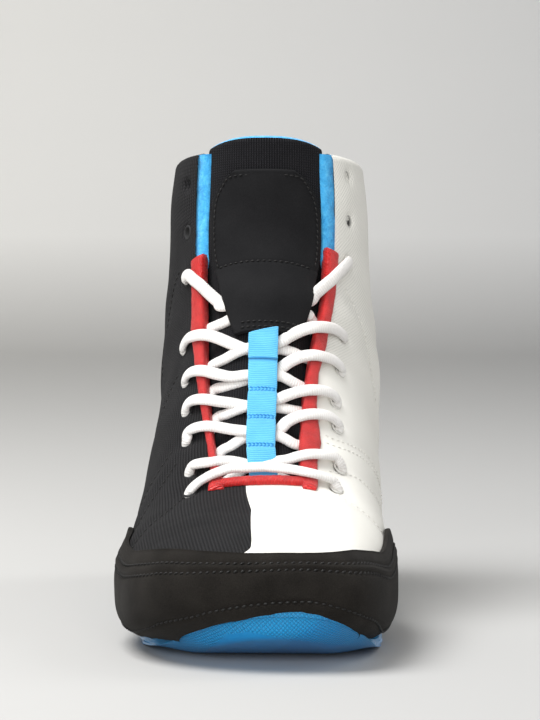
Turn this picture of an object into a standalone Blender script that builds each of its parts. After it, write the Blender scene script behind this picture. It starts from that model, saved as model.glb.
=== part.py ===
"""High-top wrestling shoe for the right foot.

Metres, toe along -Y, outer side of the foot along -X, +Z up, standing on its sole.
The upper is a loft through the sections of a last, whose planes fan round the instep.
"""

import math
from collections import namedtuple

import bmesh
import bpy
import numpy as np
from mathutils import Vector
from mathutils.bvhtree import BVHTree

# Last and shoe sizes
UPPER_LENGTH = 0.278
BALL_WIDTH = 0.104
ANKLE_WIDTH = 0.087
COLLAR_WIDTH = 0.073
VAMP_HEIGHT = 0.058
COLLAR_HEIGHT = 0.179
THROAT_WIDTH = 0.048
WALL = 0.0022
FIT = 0.0003
TIP_ROUND = 0.0008

# Outsole
SOLE_LENGTH = 0.273
SOLE_WIDTH = 0.0855
SOLE_THICKNESS = 0.0042
HEEL_THICKNESS = 0.0076
HEEL_OVERHANG = 0.005
TOE_SPRING = 0.0145
HEEL_SPRING = 0.003
ARCH_LIFT = 0.0035
LUG_DEPTH = 0.0013
LUG_PITCH = 0.016
LUG_GROOVE = 0.0022
GROOVE_SLOPE = 0.0002
RIB_DEPTH = 0.0008
# Shares of SOLE_LENGTH from the middle: where a curve of the tread starts, and how long it is.
TOE_CURVE = (-0.325, 0.175)
HEEL_CURVE = (0.40, 0.10)
ARCH_START, ARCH_END, ARCH_RAMP = -0.13, 0.22, 0.12
LUG_SPANS = ((-0.40, -0.13), (0.20, 0.40))
ARCH_STATIONS = (-0.10, -0.06, -0.02, 0.03, 0.08, 0.13)
STATION_SPACING = 0.001
# Shares of the thickness: foot of the side, lower and upper edge of its rib, and the least under the upper.
SIDE_FOOT, RIB_LOW, RIB_HIGH, SEAT_LEAST = 0.30, 0.52, 0.58, 0.6
# Shares of the half width: edge of the tread, and slope of the long grooves.
TREAD_EDGE, LUG_SLOPE = 0.965, 0.006

# Pieces on and in the upper
INSOLE_THICKNESS = 0.0030
INSOLE_INSET = 0.0095
INSOLE_BEVEL = 0.08
INSOLE_END_INSETS = 1.6
INSOLE_LEAST_HALF = 0.003
CAP_THICKNESS = 0.0016
PIPING_WIDTH = 0.0046
PIPING_THICKNESS = 0.0012
PIPING_LOWEST = 0.05
TONGUE_THICKNESS = 0.0034
TONGUE_GAP = 0.0007
TONGUE_TUCK = 0.008
TONGUE_FOOT = 0.8
TONGUE_SHOULDER = 0.22
TAB_THICKNESS = 0.0015
TAB_LANDING = 13.6
KEEPER_WIDTH = 0.012
KEEPER_THICKNESS = 0.0011
KEEPER_RAMP = 0.2
LACE_THICKNESS = 0.0027
EYELET_RADIUS = 0.0022
EYELET_SIDES = 8
LATERAL_SETBACK = 0.0120
MEDIAL_SETBACK = 0.0165

# Mesh fineness
RINGS_PER_SECTION = 2
ARC_SAMPLES = 72
INSOLE_RINGS = 18

Section = namedtuple(
    "Section",
    "name width height low_y low_z top_y top_z crest lateral medial widest low_round top_round throat",
)
# low_y and top_y are shares of UPPER_LENGTH from the middle of the shoe, low_z and top_z of the row's height,
# crest, lateral and medial of the row's width, and throat of THROAT_WIDTH. widest is how far up the section is
# widest. The rounds are exponents: 2 is an ellipse, and more is squarer.
W, A, C = BALL_WIDTH, ANKLE_WIDTH, COLLAR_WIDTH
V, H = VAMP_HEIGHT, COLLAR_HEIGHT
SECTIONS = (
    Section("toe tip", W, V, -0.4990, 0.360, -0.5000, 0.450, 0.150, 0.060, 0.060, 0.50, 2.2, 2.2, 0.03),
    Section("toe front", W, V, -0.4915, 0.322, -0.4890, 0.585, 0.138, 0.215, 0.165, 0.42, 2.6, 2.4, 0.10),
    Section("toe round", W, V, -0.4670, 0.255, -0.4610, 0.690, 0.120, 0.350, 0.262, 0.38, 3.0, 2.5, 0.17),
    Section("toes", W, V, -0.4150, 0.166, -0.4080, 0.770, 0.092, 0.446, 0.338, 0.36, 3.9, 2.5, 0.23),
    Section("toe joints", W, V, -0.3430, 0.104, -0.3380, 0.845, 0.062, 0.487, 0.396, 0.34, 4.6, 2.5, 0.27),
    Section("ball", W, V, -0.2600, 0.077, -0.2720, 0.920, 0.038, 0.503, 0.436, 0.34, 4.6, 2.45, 0.29),
    Section("throat foot", W, V, -0.1740, 0.077, -0.2140, 1.010, 0.022, 0.484, 0.452, 0.34, 4.4, 2.4, 0.30),
    Section("low instep", W, V, -0.0720, 0.112, -0.1640, 1.180, -0.005, 0.450, 0.458, 0.34, 3.4, 2.3, 0.33),
    Section("instep", W, V, 0.0540, 0.150, -0.1100, 1.415, -0.015, 0.427, 0.450, 0.36, 2.7, 2.3, 0.365),
    Section("high instep", A, H, 0.1980, 0.048, -0.0590, 0.542, -0.020, 0.500, 0.529, 0.40, 2.6, 2.3, 0.41),
    Section("heel seat", A, H, 0.3600, 0.046, -0.0150, 0.624, -0.015, 0.491, 0.507, 0.44, 2.3, 2.3, 0.445),
    Section("heel corner", A, H, 0.4700, 0.064, 0.0140, 0.695, -0.006, 0.490, 0.494, 0.50, 2.1, 2.3, 0.475),
    Section("heel back", A, H, 0.5000, 0.185, 0.0340, 0.760, -0.006, 0.482, 0.486, 0.54, 2.0, 2.3, 0.49),
    Section("heel top", A, H, 0.4860, 0.345, 0.0460, 0.816, -0.006, 0.470, 0.474, 0.54, 2.0, 2.3, 0.495),
    Section("tendon", A, H, 0.4480, 0.520, 0.0530, 0.866, -0.006, 0.455, 0.457, 0.53, 2.0, 2.3, 0.495),
    Section("ankle", C, H, 0.4260, 0.685, 0.0565, 0.912, -0.007, 0.523, 0.523, 0.51, 2.1, 2.3, 0.49),
    Section("shaft", C, H, 0.4240, 0.820, 0.0575, 0.956, -0.007, 0.510, 0.506, 0.50, 2.1, 2.3, 0.485),
    Section("collar", C, H, 0.4310, 0.945, 0.0575, 1.000, -0.007, 0.500, 0.496, 0.50, 2.1, 2.3, 0.48),
    Section("above collar", C, H, 0.4360, 1.020, 0.0575, 1.070, -0.007, 0.496, 0.492, 0.50, 2.1, 2.3, 0.475),
)
ROW = {row.name: number for number, row in enumerate(SECTIONS)}

Tread = namedtuple("Tread", "along lateral medial")
# along is a share of SOLE_LENGTH from the middle, toe first. lateral and medial are shares of SOLE_WIDTH.
TREAD = (
    Tread(-0.500, -0.130, 0.215),
    Tread(-0.492, -0.010, 0.325),
    Tread(-0.470, 0.125, 0.410),
    Tread(-0.430, 0.265, 0.482),
    Tread(-0.370, 0.380, 0.520),
    Tread(-0.290, 0.455, 0.530),
    Tread(-0.200, 0.482, 0.502),
    Tread(-0.100, 0.472, 0.438),
    Tread(0.000, 0.450, 0.372),
    Tread(0.120, 0.408, 0.336),
    Tread(0.230, 0.378, 0.336),
    Tread(0.320, 0.364, 0.348),
    Tread(0.400, 0.340, 0.334),
    Tread(0.455, 0.268, 0.264),
    Tread(0.485, 0.165, 0.163),
    Tread(0.500, 0.050, 0.050),
)

CapEdge = namedtuple("CapEdge", "along height")
# Upper edge of the toe cap from the side: shares of UPPER_LENGTH from the middle and of VAMP_HEIGHT.
CAP_EDGE = (
    CapEdge(-0.60, 0.665),
    CapEdge(-0.43, 0.660),
    CapEdge(-0.39, 0.635),
    CapEdge(-0.34, 0.605),
    CapEdge(-0.28, 0.620),
    CapEdge(-0.22, 0.655),
    CapEdge(-0.17, 0.660),
    CapEdge(-0.10, 0.540),
    CapEdge(-0.02, 0.280),
)

Eyelet = namedtuple("Eyelet", "lateral medial laced")
# Section numbers of each pair of holes, from the foot of the throat up.
EYELETS = (
    Eyelet(6.10, 6.25, True),
    Eyelet(6.75, 7.05, True),
    Eyelet(7.65, 7.95, True),
    Eyelet(8.45, 8.68, True),
    Eyelet(9.20, 9.42, True),
    Eyelet(10.05, 10.30, True),
    Eyelet(12.40, 12.60, True),
    Eyelet(14.20, 14.45, False),
    Eyelet(16.10, 16.35, False),
)

Patch = namedtuple("Patch", "row half")
# Outline of the tongue's tab: section number and half width as a share of THROAT_WIDTH.
TAB = (
    Patch(9.90, 0.280),
    Patch(10.6, 0.325),
    Patch(11.3, 0.365),
    Patch(12.0, 0.385),
    Patch(12.8, 0.395),
    Patch(13.6, 0.425),
    Patch(14.8, 0.435),
    Patch(15.4, 0.395),
    Patch(15.75, 0.270),
)
KEEPER_ROWS = (6.15, 9.6)
TONGUE_RISE = 0.24


def spline(values, place):
    """The smooth curve through evenly numbered values, read at a place between them."""
    last = len(values) - 1
    start = min(max(int(place), 0), last - 1)
    share = place - start
    here, after = values[start], values[start + 1]
    slope_here = (after - values[start - 1]) / 2 if start else after - here
    slope_after = (values[start + 2] - here) / 2 if start + 2 <= last else after - here
    square, cube = share * share, share**3
    return (
        (2 * cube - 3 * square + 1) * here
        + (cube - 2 * square + share) * slope_here
        + (3 * square - 2 * cube) * after
        + (cube - square) * slope_after
    )


def table_at(rows, key, value, along):
    """One column of a table at a place along another, by the smooth curve through its rows."""
    keys = [getattr(row, key) for row in rows]
    along = min(max(along, keys[0]), keys[-1])
    number = next(i for i in range(1, len(keys)) if along <= keys[i])
    share = (along - keys[number - 1]) / (keys[number] - keys[number - 1])
    return float(spline(np.array([getattr(row, value) for row in rows]), number - 1 + share))


def real_sizes(row):
    """A section's numbers in metres."""
    return np.array(
        (
            row.low_y * UPPER_LENGTH,
            row.low_z * row.height,
            row.top_y * UPPER_LENGTH,
            row.top_z * row.height,
            row.crest * row.width,
            row.lateral * row.width,
            row.medial * row.width,
            row.widest,
            row.low_round,
            row.top_round,
            row.throat * THROAT_WIDTH,
        )
    )


REAL_SECTIONS = [real_sizes(row) for row in SECTIONS]


def section_point(sizes, side, angle):
    """A point of a section: side -1 is lateral and 1 medial, and angle runs from -90 at its foot to 90 at its top."""
    low_y, low_z, top_y, top_z, crest, lateral, medial, widest, low_round, top_round, _ = sizes
    lift, spread = math.sin(angle), max(math.cos(angle), 0.0)
    power = 2 / (low_round if lift < 0 else top_round)
    height = widest + (widest if lift < 0 else 1 - widest) * math.copysign(abs(lift) ** power, lift)
    reach = (lateral if side < 0 else medial) * spread**power
    return Vector((crest + side * reach, low_y + (top_y - low_y) * height, low_z + (top_z - low_z) * height))


class Arc:
    """One side of the section at a place along the shoe, from its foot to its top, measured along the surface."""

    def __init__(self, place, side):
        self.sizes = spline(REAL_SECTIONS, place)
        angles = [math.pi * (i / ARC_SAMPLES - 0.5) for i in range(ARC_SAMPLES + 1)]
        self.points = [section_point(self.sizes, side, angle) for angle in angles]
        steps = [(b - a).length for a, b in zip(self.points, self.points[1:])]
        self.runs = np.concatenate([[0.0], np.cumsum(steps)])
        self.length = float(self.runs[-1])

    def at(self, run):
        run = min(max(run, 0.0), self.length)
        return Vector(float(np.interp(run, self.runs, [p[axis] for p in self.points])) for axis in range(3))

    def run_inside(self, half_width, upper):
        """How far up the arc it comes within a half width of the crest, on its lower or its upper half."""
        offsets = [abs(p.x - self.sizes[4]) for p in self.points]
        widest = offsets.index(max(offsets))
        if upper:
            rows = range(widest, ARC_SAMPLES + 1)
            return float(np.interp(-half_width, [-offsets[i] for i in rows], [self.runs[i] for i in rows]))
        rows = range(widest + 1)
        return float(np.interp(half_width, [offsets[i] for i in rows], [self.runs[i] for i in rows]))

    def throat_run(self):
        """How far up the arc the throat's edge is."""
        return self.run_inside(float(self.sizes[10]), True)


LIP_SHARE = 0.66
STRIPS = (("lip", 2), ("wall", 10), ("piping", 1), ("throat", 2))


def side_columns(place, side):
    """Points up one side of a section, on the lines where the lip, wall, piping and throat begin."""
    arc = Arc(place, side)
    reach = float(arc.sizes[5] if side < 0 else arc.sizes[6])
    throat = arc.throat_run()
    lip = arc.run_inside(LIP_SHARE * reach, False)
    piping = max(throat - PIPING_WIDTH, (lip + throat) / 2)
    bounds = [0.0, lip, piping, throat, arc.length]
    runs = [0.0]
    for (_, count), start, end in zip(STRIPS, bounds, bounds[1:]):
        runs += [start + (end - start) * (i + 1) / count for i in range(count)]
    return [arc.at(run) for run in runs]


SIDE_COUNT = sum(count for _, count in STRIPS)
RING_COUNT = 2 * SIDE_COUNT


def ring(place):
    """The closed section: up the lateral side from its foot, and down the medial side."""
    lateral, medial = side_columns(place, -1), side_columns(place, 1)
    return lateral[:-1] + medial[:0:-1]


def strip_of(column):
    """The name of the strip that a face of the ring lies in."""
    step = column if column < SIDE_COUNT else RING_COUNT - 1 - column
    for name, count in STRIPS:
        if step < count:
            return name
        step -= count
    return name


def face_outward(bm):
    bmesh.ops.recalc_face_normals(bm, faces=bm.faces)
    if bm.calc_volume(signed=True) < 0:
        bmesh.ops.reverse_faces(bm, faces=bm.faces)


def new_object(name, bm, material, collection=None):
    mesh = bpy.data.meshes.new(name)
    bm.to_mesh(mesh)
    bm.free()
    mesh.shade_smooth()
    mesh.set_sharp_from_angle(angle=math.radians(38))
    obj = bpy.data.objects.new(name, mesh)
    (collection or SHOE).objects.link(obj)
    if material:
        mesh.materials.append(material)
    return obj


def material(name, color, roughness):
    made = bpy.data.materials.new(name)
    made.use_nodes = True
    shader = made.node_tree.nodes["Principled BSDF"]
    shader.inputs["Base Color"].default_value = (*color, 1)
    shader.inputs["Roughness"].default_value = roughness
    shader.inputs["Metallic"].default_value = 0
    made.diffuse_color = (*color, 1)
    return made


def add_modifier(obj, kind, **settings):
    modifier = obj.modifiers.new(kind.title(), kind)
    for key, value in settings.items():
        setattr(modifier, key, value)
    return modifier


def cutter(name, bm):
    obj = new_object(name, bm, None, CUTTERS)
    obj.hide_render = True
    obj.display_type = "WIRE"
    return obj


def form_shell(start, end, keep, outward=0.0):
    """The faces of the last's surface between two rings that keep(place, strip) takes, moved out along its normals."""
    count = round((end - start) * RINGS_PER_SECTION)
    places = [start + i / RINGS_PER_SECTION for i in range(count + 1)]
    bm = bmesh.new()
    rings = [[bm.verts.new(point) for point in ring(place)] for place in places]
    for (place, low), high in zip(zip(places, rings), rings[1:]):
        for i in range(RING_COUNT):
            corners = (low[i], low[(i + 1) % RING_COUNT], high[(i + 1) % RING_COUNT], high[i])
            bm.faces.new(corners).material_index = 0 if keep(place, strip_of(i)) else 1
    if start == 0:
        tip = bm.verts.new(sum((v.co for v in rings[0]), Vector()) / RING_COUNT + Vector((0, -TIP_ROUND, 0)))
        for i in range(RING_COUNT):
            bm.faces.new((rings[0][(i + 1) % RING_COUNT], rings[0][i], tip))
    bm.normal_update()
    moves = [(v, v.normal.copy()) for v in bm.verts]
    for vert, normal in moves:
        vert.co += normal * outward
    dropped = [face for face in bm.faces if face.material_index]
    bmesh.ops.delete(bm, geom=dropped, context="FACES")
    return bm


def side_view_prism(name, outline):
    """A block through the whole width of the shoe, whose outline is a list of (y, z)."""
    bm = bmesh.new()
    lateral = [bm.verts.new((-BALL_WIDTH, y, z)) for y, z in outline]
    face = bm.faces.new(lateral)
    pulled = bmesh.ops.extrude_face_region(bm, geom=[face])
    moved = [item for item in pulled["geom"] if isinstance(item, bmesh.types.BMVert)]
    bmesh.ops.translate(bm, verts=moved, vec=(2 * BALL_WIDTH, 0, 0))
    face_outward(bm)
    return cutter(name, bm)


def sole_underside(y):
    """Height of the tread: flat under forefoot and heel, raised at the arch, sprung at the toe."""
    along = y / SOLE_LENGTH
    toe = min(max((TOE_CURVE[0] - along) / TOE_CURVE[1], 0.0), 1.0)
    heel = min(max((along - HEEL_CURVE[0]) / HEEL_CURVE[1], 0.0), 1.0)
    rise = min(max((along - ARCH_START) / ARCH_RAMP, 0.0), 1.0)
    arch = rise * min(max((ARCH_END - along) / ARCH_RAMP, 0.0), 1.0)
    return TOE_SPRING * toe**1.7 + HEEL_SPRING * heel**2 + ARCH_LIFT * (3 - 2 * arch) * arch**2


class Underside:
    """The last's lower surface, read straight up from a point."""

    def __init__(self, outward):
        bm = bmesh.new()
        rings = []
        for i in range(4 * (len(SECTIONS) - 4)):
            points = [Arc(i / 4, side) for side in (-1, 1)]
            lateral = [points[0].at(points[0].length * k / 40) for k in range(41)]
            medial = [points[1].at(points[1].length * k / 40) for k in range(41)]
            rings.append([bm.verts.new(p) for p in lateral[:-1] + medial[:0:-1]])
        for low, high in zip(rings, rings[1:]):
            for i in range(80):
                bm.faces.new((low[i], low[(i + 1) % 80], high[(i + 1) % 80], high[i]))
        bm.faces.new(rings[0][::-1])
        bm.normal_update()
        for vert, normal in [(vert, vert.normal.copy()) for vert in bm.verts]:
            vert.co += normal * outward
        self.tree = BVHTree.FromBMesh(bm)
        bm.free()

    def height(self, x, y):
        hit = self.tree.ray_cast(Vector((x, y, -0.05)), Vector((0, 0, 1)))[0]
        return hit.z if hit else None


def sole_stations():
    """Places along the sole: a pair of close ones at each side of a cross groove in the tread."""
    half = SOLE_LENGTH / 2
    ends = [half * math.cos(math.pi * i / 24) for i in range(6)]
    stations = {round(end, 6): False for end in ends} | {round(-end, 6): False for end in ends}
    for first, last in LUG_SPANS:
        span = (last - first) * SOLE_LENGTH
        for i in range(int(span / LUG_PITCH) + 1):
            middle = first * SOLE_LENGTH + i * LUG_PITCH
            stations[round(middle - LUG_GROOVE / 2 - GROOVE_SLOPE, 6)] = False
            stations[round(middle - LUG_GROOVE / 2, 6)] = True
            stations[round(middle + LUG_GROOVE / 2, 6)] = True
            stations[round(middle + LUG_GROOVE / 2 + GROOVE_SLOPE, 6)] = False
    for along in ARCH_STATIONS:
        stations[round(along * SOLE_LENGTH, 6)] = False
    ordered = sorted(stations)
    spaced = [ordered[0]]
    for y in ordered[1:]:
        if stations[y] or stations[spaced[-1]] or y - spaced[-1] > STATION_SPACING:
            spaced.append(y)
    return [(y, stations[y]) for y in spaced]


LUG_LINES = (-0.4, 0.4)
# Lines along the top and the grooves along the tread, as shares of the half width.
TOP_LINES = (1.0, 0.82, 0.5, 0.0, -0.5, -0.82, -1.0)


def sole_section(y, grooved, underside):
    """The outsole's outline across the foot: tread with lugs, ribbed sides, and a top that cradles the upper."""
    along = y / SOLE_LENGTH
    lateral = -table_at(TREAD, "along", "lateral", along) * SOLE_WIDTH
    medial = table_at(TREAD, "along", "medial", along) * SOLE_WIDTH
    middle, half = (lateral + medial) / 2, (medial - lateral) / 2
    low = sole_underside(y)
    seat = max(min(along / 0.2 + 0.5, 1.0), 0.0)
    thickness = SOLE_THICKNESS + (HEEL_THICKNESS - SOLE_THICKNESS) * seat
    heights = [underside.height(middle + half * share, y) for share in TOP_LINES]
    least = low + SEAT_LEAST * thickness
    tops = [low + thickness if found is None else max(found - 3 * FIT, least) for found in heights]
    groove = LUG_DEPTH if grooved else 0.0
    points = [(-1.0, low + SIDE_FOOT * thickness), (-TREAD_EDGE, low + groove)]
    for line in LUG_LINES:
        width = LUG_GROOVE / 2 / half
        points += [(line - width - LUG_SLOPE, low + groove), (line - width, low + LUG_DEPTH)]
        points += [(line + width, low + LUG_DEPTH), (line + width + LUG_SLOPE, low + groove)]
    points += [(TREAD_EDGE, low + groove), (1.0, low + SIDE_FOOT * thickness)]
    inset = 1 - RIB_DEPTH / half
    points += [(1.0, low + RIB_LOW * thickness), (inset, low + RIB_HIGH * thickness)]
    points += [(share * (inset if abs(share) == 1 else 1), top) for share, top in zip(TOP_LINES, tops)]
    points += [(-inset, low + RIB_HIGH * thickness), (-1.0, low + RIB_LOW * thickness)]
    return [Vector((middle + half * share, y, z)) for share, z in points]


def outline_prism(grow, height):
    """An upright block with the sole's outline grown by a margin."""
    bm = bmesh.new()
    sides = {-1: [], 1: []}
    for i in range(33):
        y = -SOLE_LENGTH / 2 * math.cos(math.pi * i / 32)
        for side, column in ((-1, "lateral"), (1, "medial")):
            x = side * (table_at(TREAD, "along", column, y / SOLE_LENGTH) * SOLE_WIDTH + grow)
            end = -grow if i == 0 else grow if i == 32 else 0
            sides[side].append((x, y + end, -height))
    face = bm.faces.new([bm.verts.new(point) for point in sides[-1] + sides[1][::-1]])
    pulled = bmesh.ops.extrude_face_region(bm, geom=[face])
    moved = [item for item in pulled["geom"] if isinstance(item, bmesh.types.BMVert)]
    bmesh.ops.translate(bm, verts=moved, vec=(0, 0, 2 * height))
    face_outward(bm)
    return bm


def make_outsole():
    underside = Underside(FIT)
    bm = bmesh.new()
    rings = [
        [bm.verts.new(point) for point in sole_section(y, grooved, underside)]
        for y, grooved in sole_stations()
    ]
    for low, high in zip(rings, rings[1:]):
        for i in range(len(low)):
            j = (i + 1) % len(low)
            bm.faces.new((low[i], low[j], high[j], high[i]))
    bm.faces.new(rings[0])
    bm.faces.new(rings[-1][::-1])
    face_outward(bm)
    return new_object("outsole", bm, material("outsole_rubber", (0.02, 0.33, 0.72), 0.35))


def make_insole():
    """A foot-shaped board on the upper's turned-in lip."""
    underside = Underside(-WALL)
    inset = INSOLE_INSET
    end = min(SOLE_LENGTH, UPPER_LENGTH - HEEL_OVERHANG) / 2 - INSOLE_END_INSETS * inset
    bm = bmesh.new()
    rings = []
    for i in range(INSOLE_RINGS + 1):
        y = -end * math.cos(math.pi * i / INSOLE_RINGS)
        lateral = -table_at(TREAD, "along", "lateral", y / SOLE_LENGTH) * SOLE_WIDTH
        medial = table_at(TREAD, "along", "medial", y / SOLE_LENGTH) * SOLE_WIDTH
        middle, half = (lateral + medial) / 2, max((medial - lateral) / 2 - inset, INSOLE_LEAST_HALF)
        lines = (-1.0, -0.6, 0.0, 0.6, 1.0)
        lows = [underside.height(middle + half * share, y) for share in lines]
        low = max(found for found in lows if found is not None) + 3 * FIT
        points = [(share * (1 - INSOLE_BEVEL * (abs(share) == 1)), low) for share in lines]
        points += [(share, low + INSOLE_THICKNESS) for share in reversed(lines)]
        rings.append([bm.verts.new((middle + half * share, y, z)) for share, z in points])
    for low, high in zip(rings, rings[1:]):
        for i in range(len(low)):
            j = (i + 1) % len(low)
            bm.faces.new((low[i], low[j], high[j], high[i]))
    bm.faces.new(rings[0])
    bm.faces.new(rings[-1][::-1])
    face_outward(bm)
    return new_object("insole", bm, material("insole_foam", (0.05, 0.40, 0.75), 0.9))


THROAT_FOOT = ROW["throat foot"]
COLLAR = ROW["collar"]
LIP_FIRST, LIP_LAST = 1, ROW["heel seat"]
PIPING_TOP = 12.5


def in_upper(place, strip):
    """Whether the upper covers a strip: it is open at the throat, and underneath inside its lip."""
    if strip == "throat":
        return place < THROAT_FOOT
    if strip == "lip":
        return place < LIP_FIRST or place >= LIP_LAST
    return True


def setback(side):
    """How far the eyelets of a side lie from the throat's edge."""
    return LATERAL_SETBACK if side < 0 else MEDIAL_SETBACK


def eyelet_frame(place, side):
    """An eyelet's middle on the surface, and the direction out of it."""
    arc, beyond = Arc(place, side), Arc(place + 0.1, side)
    run = arc.throat_run() - setback(side)
    middle = arc.at(run)
    across = arc.at(run + 0.002) - arc.at(run - 0.002)
    along = beyond.at(beyond.throat_run() - setback(side)) - middle
    out = across.cross(along) * -side
    return middle, out.normalized()


def make_upper():
    bm = form_shell(0, COLLAR, in_upper)
    upper = new_object("upper", bm, material("upper_cloth", (0.78, 0.77, 0.72), 0.8))
    add_modifier(upper, "SOLIDIFY", thickness=WALL, offset=-1, use_even_offset=False)
    punches = bmesh.new()
    for pair in EYELETS:
        for side, place in ((-1, pair.lateral), (1, pair.medial)):
            middle, out = eyelet_frame(place, side)
            turn = out.to_track_quat("Z", "Y").to_matrix().to_4x4()
            turn.translation = middle
            bmesh.ops.create_cone(
                punches, cap_ends=True, segments=EYELET_SIDES, radius1=EYELET_RADIUS, radius2=EYELET_RADIUS,
                depth=6 * WALL, matrix=turn,
            )
    add_modifier(upper, "BOOLEAN", object=cutter("eyelet_punch", punches), operation="DIFFERENCE", solver="EXACT")
    return upper


def make_toe_cap():
    """A cap cut from a shell one seam outside the upper, below its edge line and above the sole's side."""
    bm = form_shell(0, 9, lambda place, strip: strip != "lip" or place < LIP_FIRST, FIT)
    cap = new_object("toe_cap", bm, material("toe_suede", (0.02, 0.018, 0.017), 0.9))
    add_modifier(cap, "SOLIDIFY", thickness=CAP_THICKNESS, offset=1, use_even_offset=False)
    upper_edge = [(row.along * UPPER_LENGTH, row.height * VAMP_HEIGHT) for row in CAP_EDGE]
    lower_edge = [(upper_edge[-1][0], -HEEL_THICKNESS), (upper_edge[0][0], -HEEL_THICKNESS)]
    region = side_view_prism("cap_region", upper_edge + lower_edge)
    add_modifier(cap, "BOOLEAN", object=region, operation="INTERSECT", solver="EXACT")
    sole_block = cutter("cap_sole_block", outline_prism(FIT, VAMP_HEIGHT / 2))
    add_modifier(cap, "BOOLEAN", object=sole_block, operation="DIFFERENCE", solver="EXACT")
    return cap


def make_piping():
    """The raised edge along both sides of the throat and across its foot."""
    def beside_throat(place, strip):
        if strip == "piping":
            return THROAT_FOOT - 1 / RINGS_PER_SECTION <= place < PIPING_TOP
        return strip == "throat" and THROAT_FOOT - 1 / RINGS_PER_SECTION <= place < THROAT_FOOT

    bm = form_shell(0, 13, beside_throat, FIT)
    keep = {vert for face in bm.faces if face.calc_center_median().z > PIPING_LOWEST for vert in face.verts}
    bmesh.ops.delete(bm, geom=[vert for vert in bm.verts if vert not in keep], context="VERTS")
    piping = new_object("throat_piping", bm, material("piping_satin", (0.75, 0.01, 0.012), 0.35))
    add_modifier(piping, "SOLIDIFY", thickness=PIPING_THICKNESS, offset=1, use_even_offset=False)
    return piping


def front_strip(rows, half_at, inward, columns):
    """An open strip up the front of the last, half_at(place, arc) to each side of its crest, set in by inward(place)."""
    bm = bmesh.new()
    lines = []
    for place in rows:
        lateral, medial = Arc(place, -1), Arc(place, 1)
        line = []
        for i in range(-columns, columns + 1):
            arc = lateral if i < 0 else medial
            line.append(bm.verts.new(arc.at(arc.length - half_at(place, arc) * abs(i) / columns)))
        lines.append(line)
    for low, high in zip(lines, lines[1:]):
        for i in range(2 * columns):
            bm.faces.new((low[i], low[i + 1], high[i + 1], high[i]))
    bm.normal_update()
    moves = [(vert, vert.normal.copy(), inward(place)) for place, line in zip(rows, lines) for vert in line]
    for vert, normal, depth in moves:
        vert.co -= normal * depth
    return bm


def spaced(first, last, count):
    return [first + (last - first) * i / count for i in range(count + 1)]


TONGUE_DEPTH = WALL + TONGUE_GAP


def make_tongue():
    rows = spaced(THROAT_FOOT - TONGUE_FOOT, COLLAR + TONGUE_RISE, 22)

    def half(place, arc):
        shoulder = max(place - COLLAR, 0.0) / TONGUE_RISE
        return (arc.length - arc.throat_run() + TONGUE_TUCK) * (1 - TONGUE_SHOULDER * shoulder**3)

    bm = front_strip(rows, half, lambda place: TONGUE_DEPTH, 4)
    tongue = new_object("tongue", bm, material("tongue_knit", (0.02, 0.02, 0.024), 0.85))
    add_modifier(tongue, "SOLIDIFY", thickness=TONGUE_THICKNESS, offset=-1, use_even_offset=False)
    return tongue


def lift_over_laces(place):
    """How far the tab stands off the tongue: over the laces at its foot, down to the tongue at its top."""
    share = min(max(TAB_LANDING - place, 0.0), 1.0)
    return (LACE_THICKNESS + 7 * FIT) * share * share * (3 - 2 * share)


def make_tab():
    rows = [row.row for row in TAB]

    def half(place, arc):
        row = min(TAB, key=lambda patch: abs(patch.row - place))
        return arc.length - arc.run_inside(row.half * THROAT_WIDTH, True)

    bm = front_strip(rows, half, lambda place: TONGUE_DEPTH - 2 * FIT - lift_over_laces(place), 4)
    tab = new_object("tongue_tab", bm, material("tab_suede", (0.02, 0.018, 0.018), 0.9))
    add_modifier(tab, "SOLIDIFY", thickness=TAB_THICKNESS, offset=1, use_even_offset=False)
    return tab


def lace_height(reach):
    """Height of a lace's middle over the last's surface, by how far from the crest it is in throat half widths."""
    in_throat = -TONGUE_DEPTH + 5 * FIT + LACE_THICKNESS / 2
    on_piping = 3 * FIT + PIPING_THICKNESS + LACE_THICKNESS / 2
    rise = min(max((reach - LACE_RISE) / (LACE_OVER - LACE_RISE), 0.0), 1.0)
    return in_throat + (on_piping - in_throat) * rise * rise * (3 - 2 * rise)


def lace_point(place, reach, extra=0.0):
    """A point over the throat, reach throat half widths from its crest, or by the eyelets for LACE_END."""
    side = -1 if reach < 0 else 1
    arc, ahead = Arc(place, side), Arc(place + 0.05, side)
    to_throat = arc.length - arc.throat_run()
    distance = to_throat + setback(side) - LACE_SHORT if abs(reach) == LACE_END else abs(reach) * to_throat
    here = arc.at(arc.length - distance)
    along = ahead.at(ahead.length - distance) - here
    aside = arc.at(arc.length - distance - 0.0015) - arc.at(arc.length - distance + 0.0015)
    out = (aside.cross(along) * side).normalized()
    return here + out * (lace_height(distance / to_throat) + extra)


def lace_route(start, end, first_side, lift=0.0):
    """A cord over the throat from one side's eyelet to the other's, lifted over the middle."""
    middle = Arc((start + end) / 2, 1)
    to_throat = middle.length - middle.throat_run()
    route = []
    for mark in LACE_MARKS:
        share = math.copysign(1, mark) if abs(mark) == LACE_END else mark * to_throat / (to_throat + LATERAL_SETBACK)
        over = min(max((LACE_OVER - abs(mark)) / (LACE_OVER - LACE_RISE), 0.0), 1.0) * lift
        route.append(lace_point(start + (end - start) * (1 - share) / 2, mark * first_side, over))
    return route


def keeper_lift(place):
    """The keeper lies over the lace crossings, and its foot comes down to the tongue."""
    first = KEEPER_ROWS[0]
    return (LACE_THICKNESS + 6 * FIT) * min((place - first) / KEEPER_RAMP, 1.0)


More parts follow.
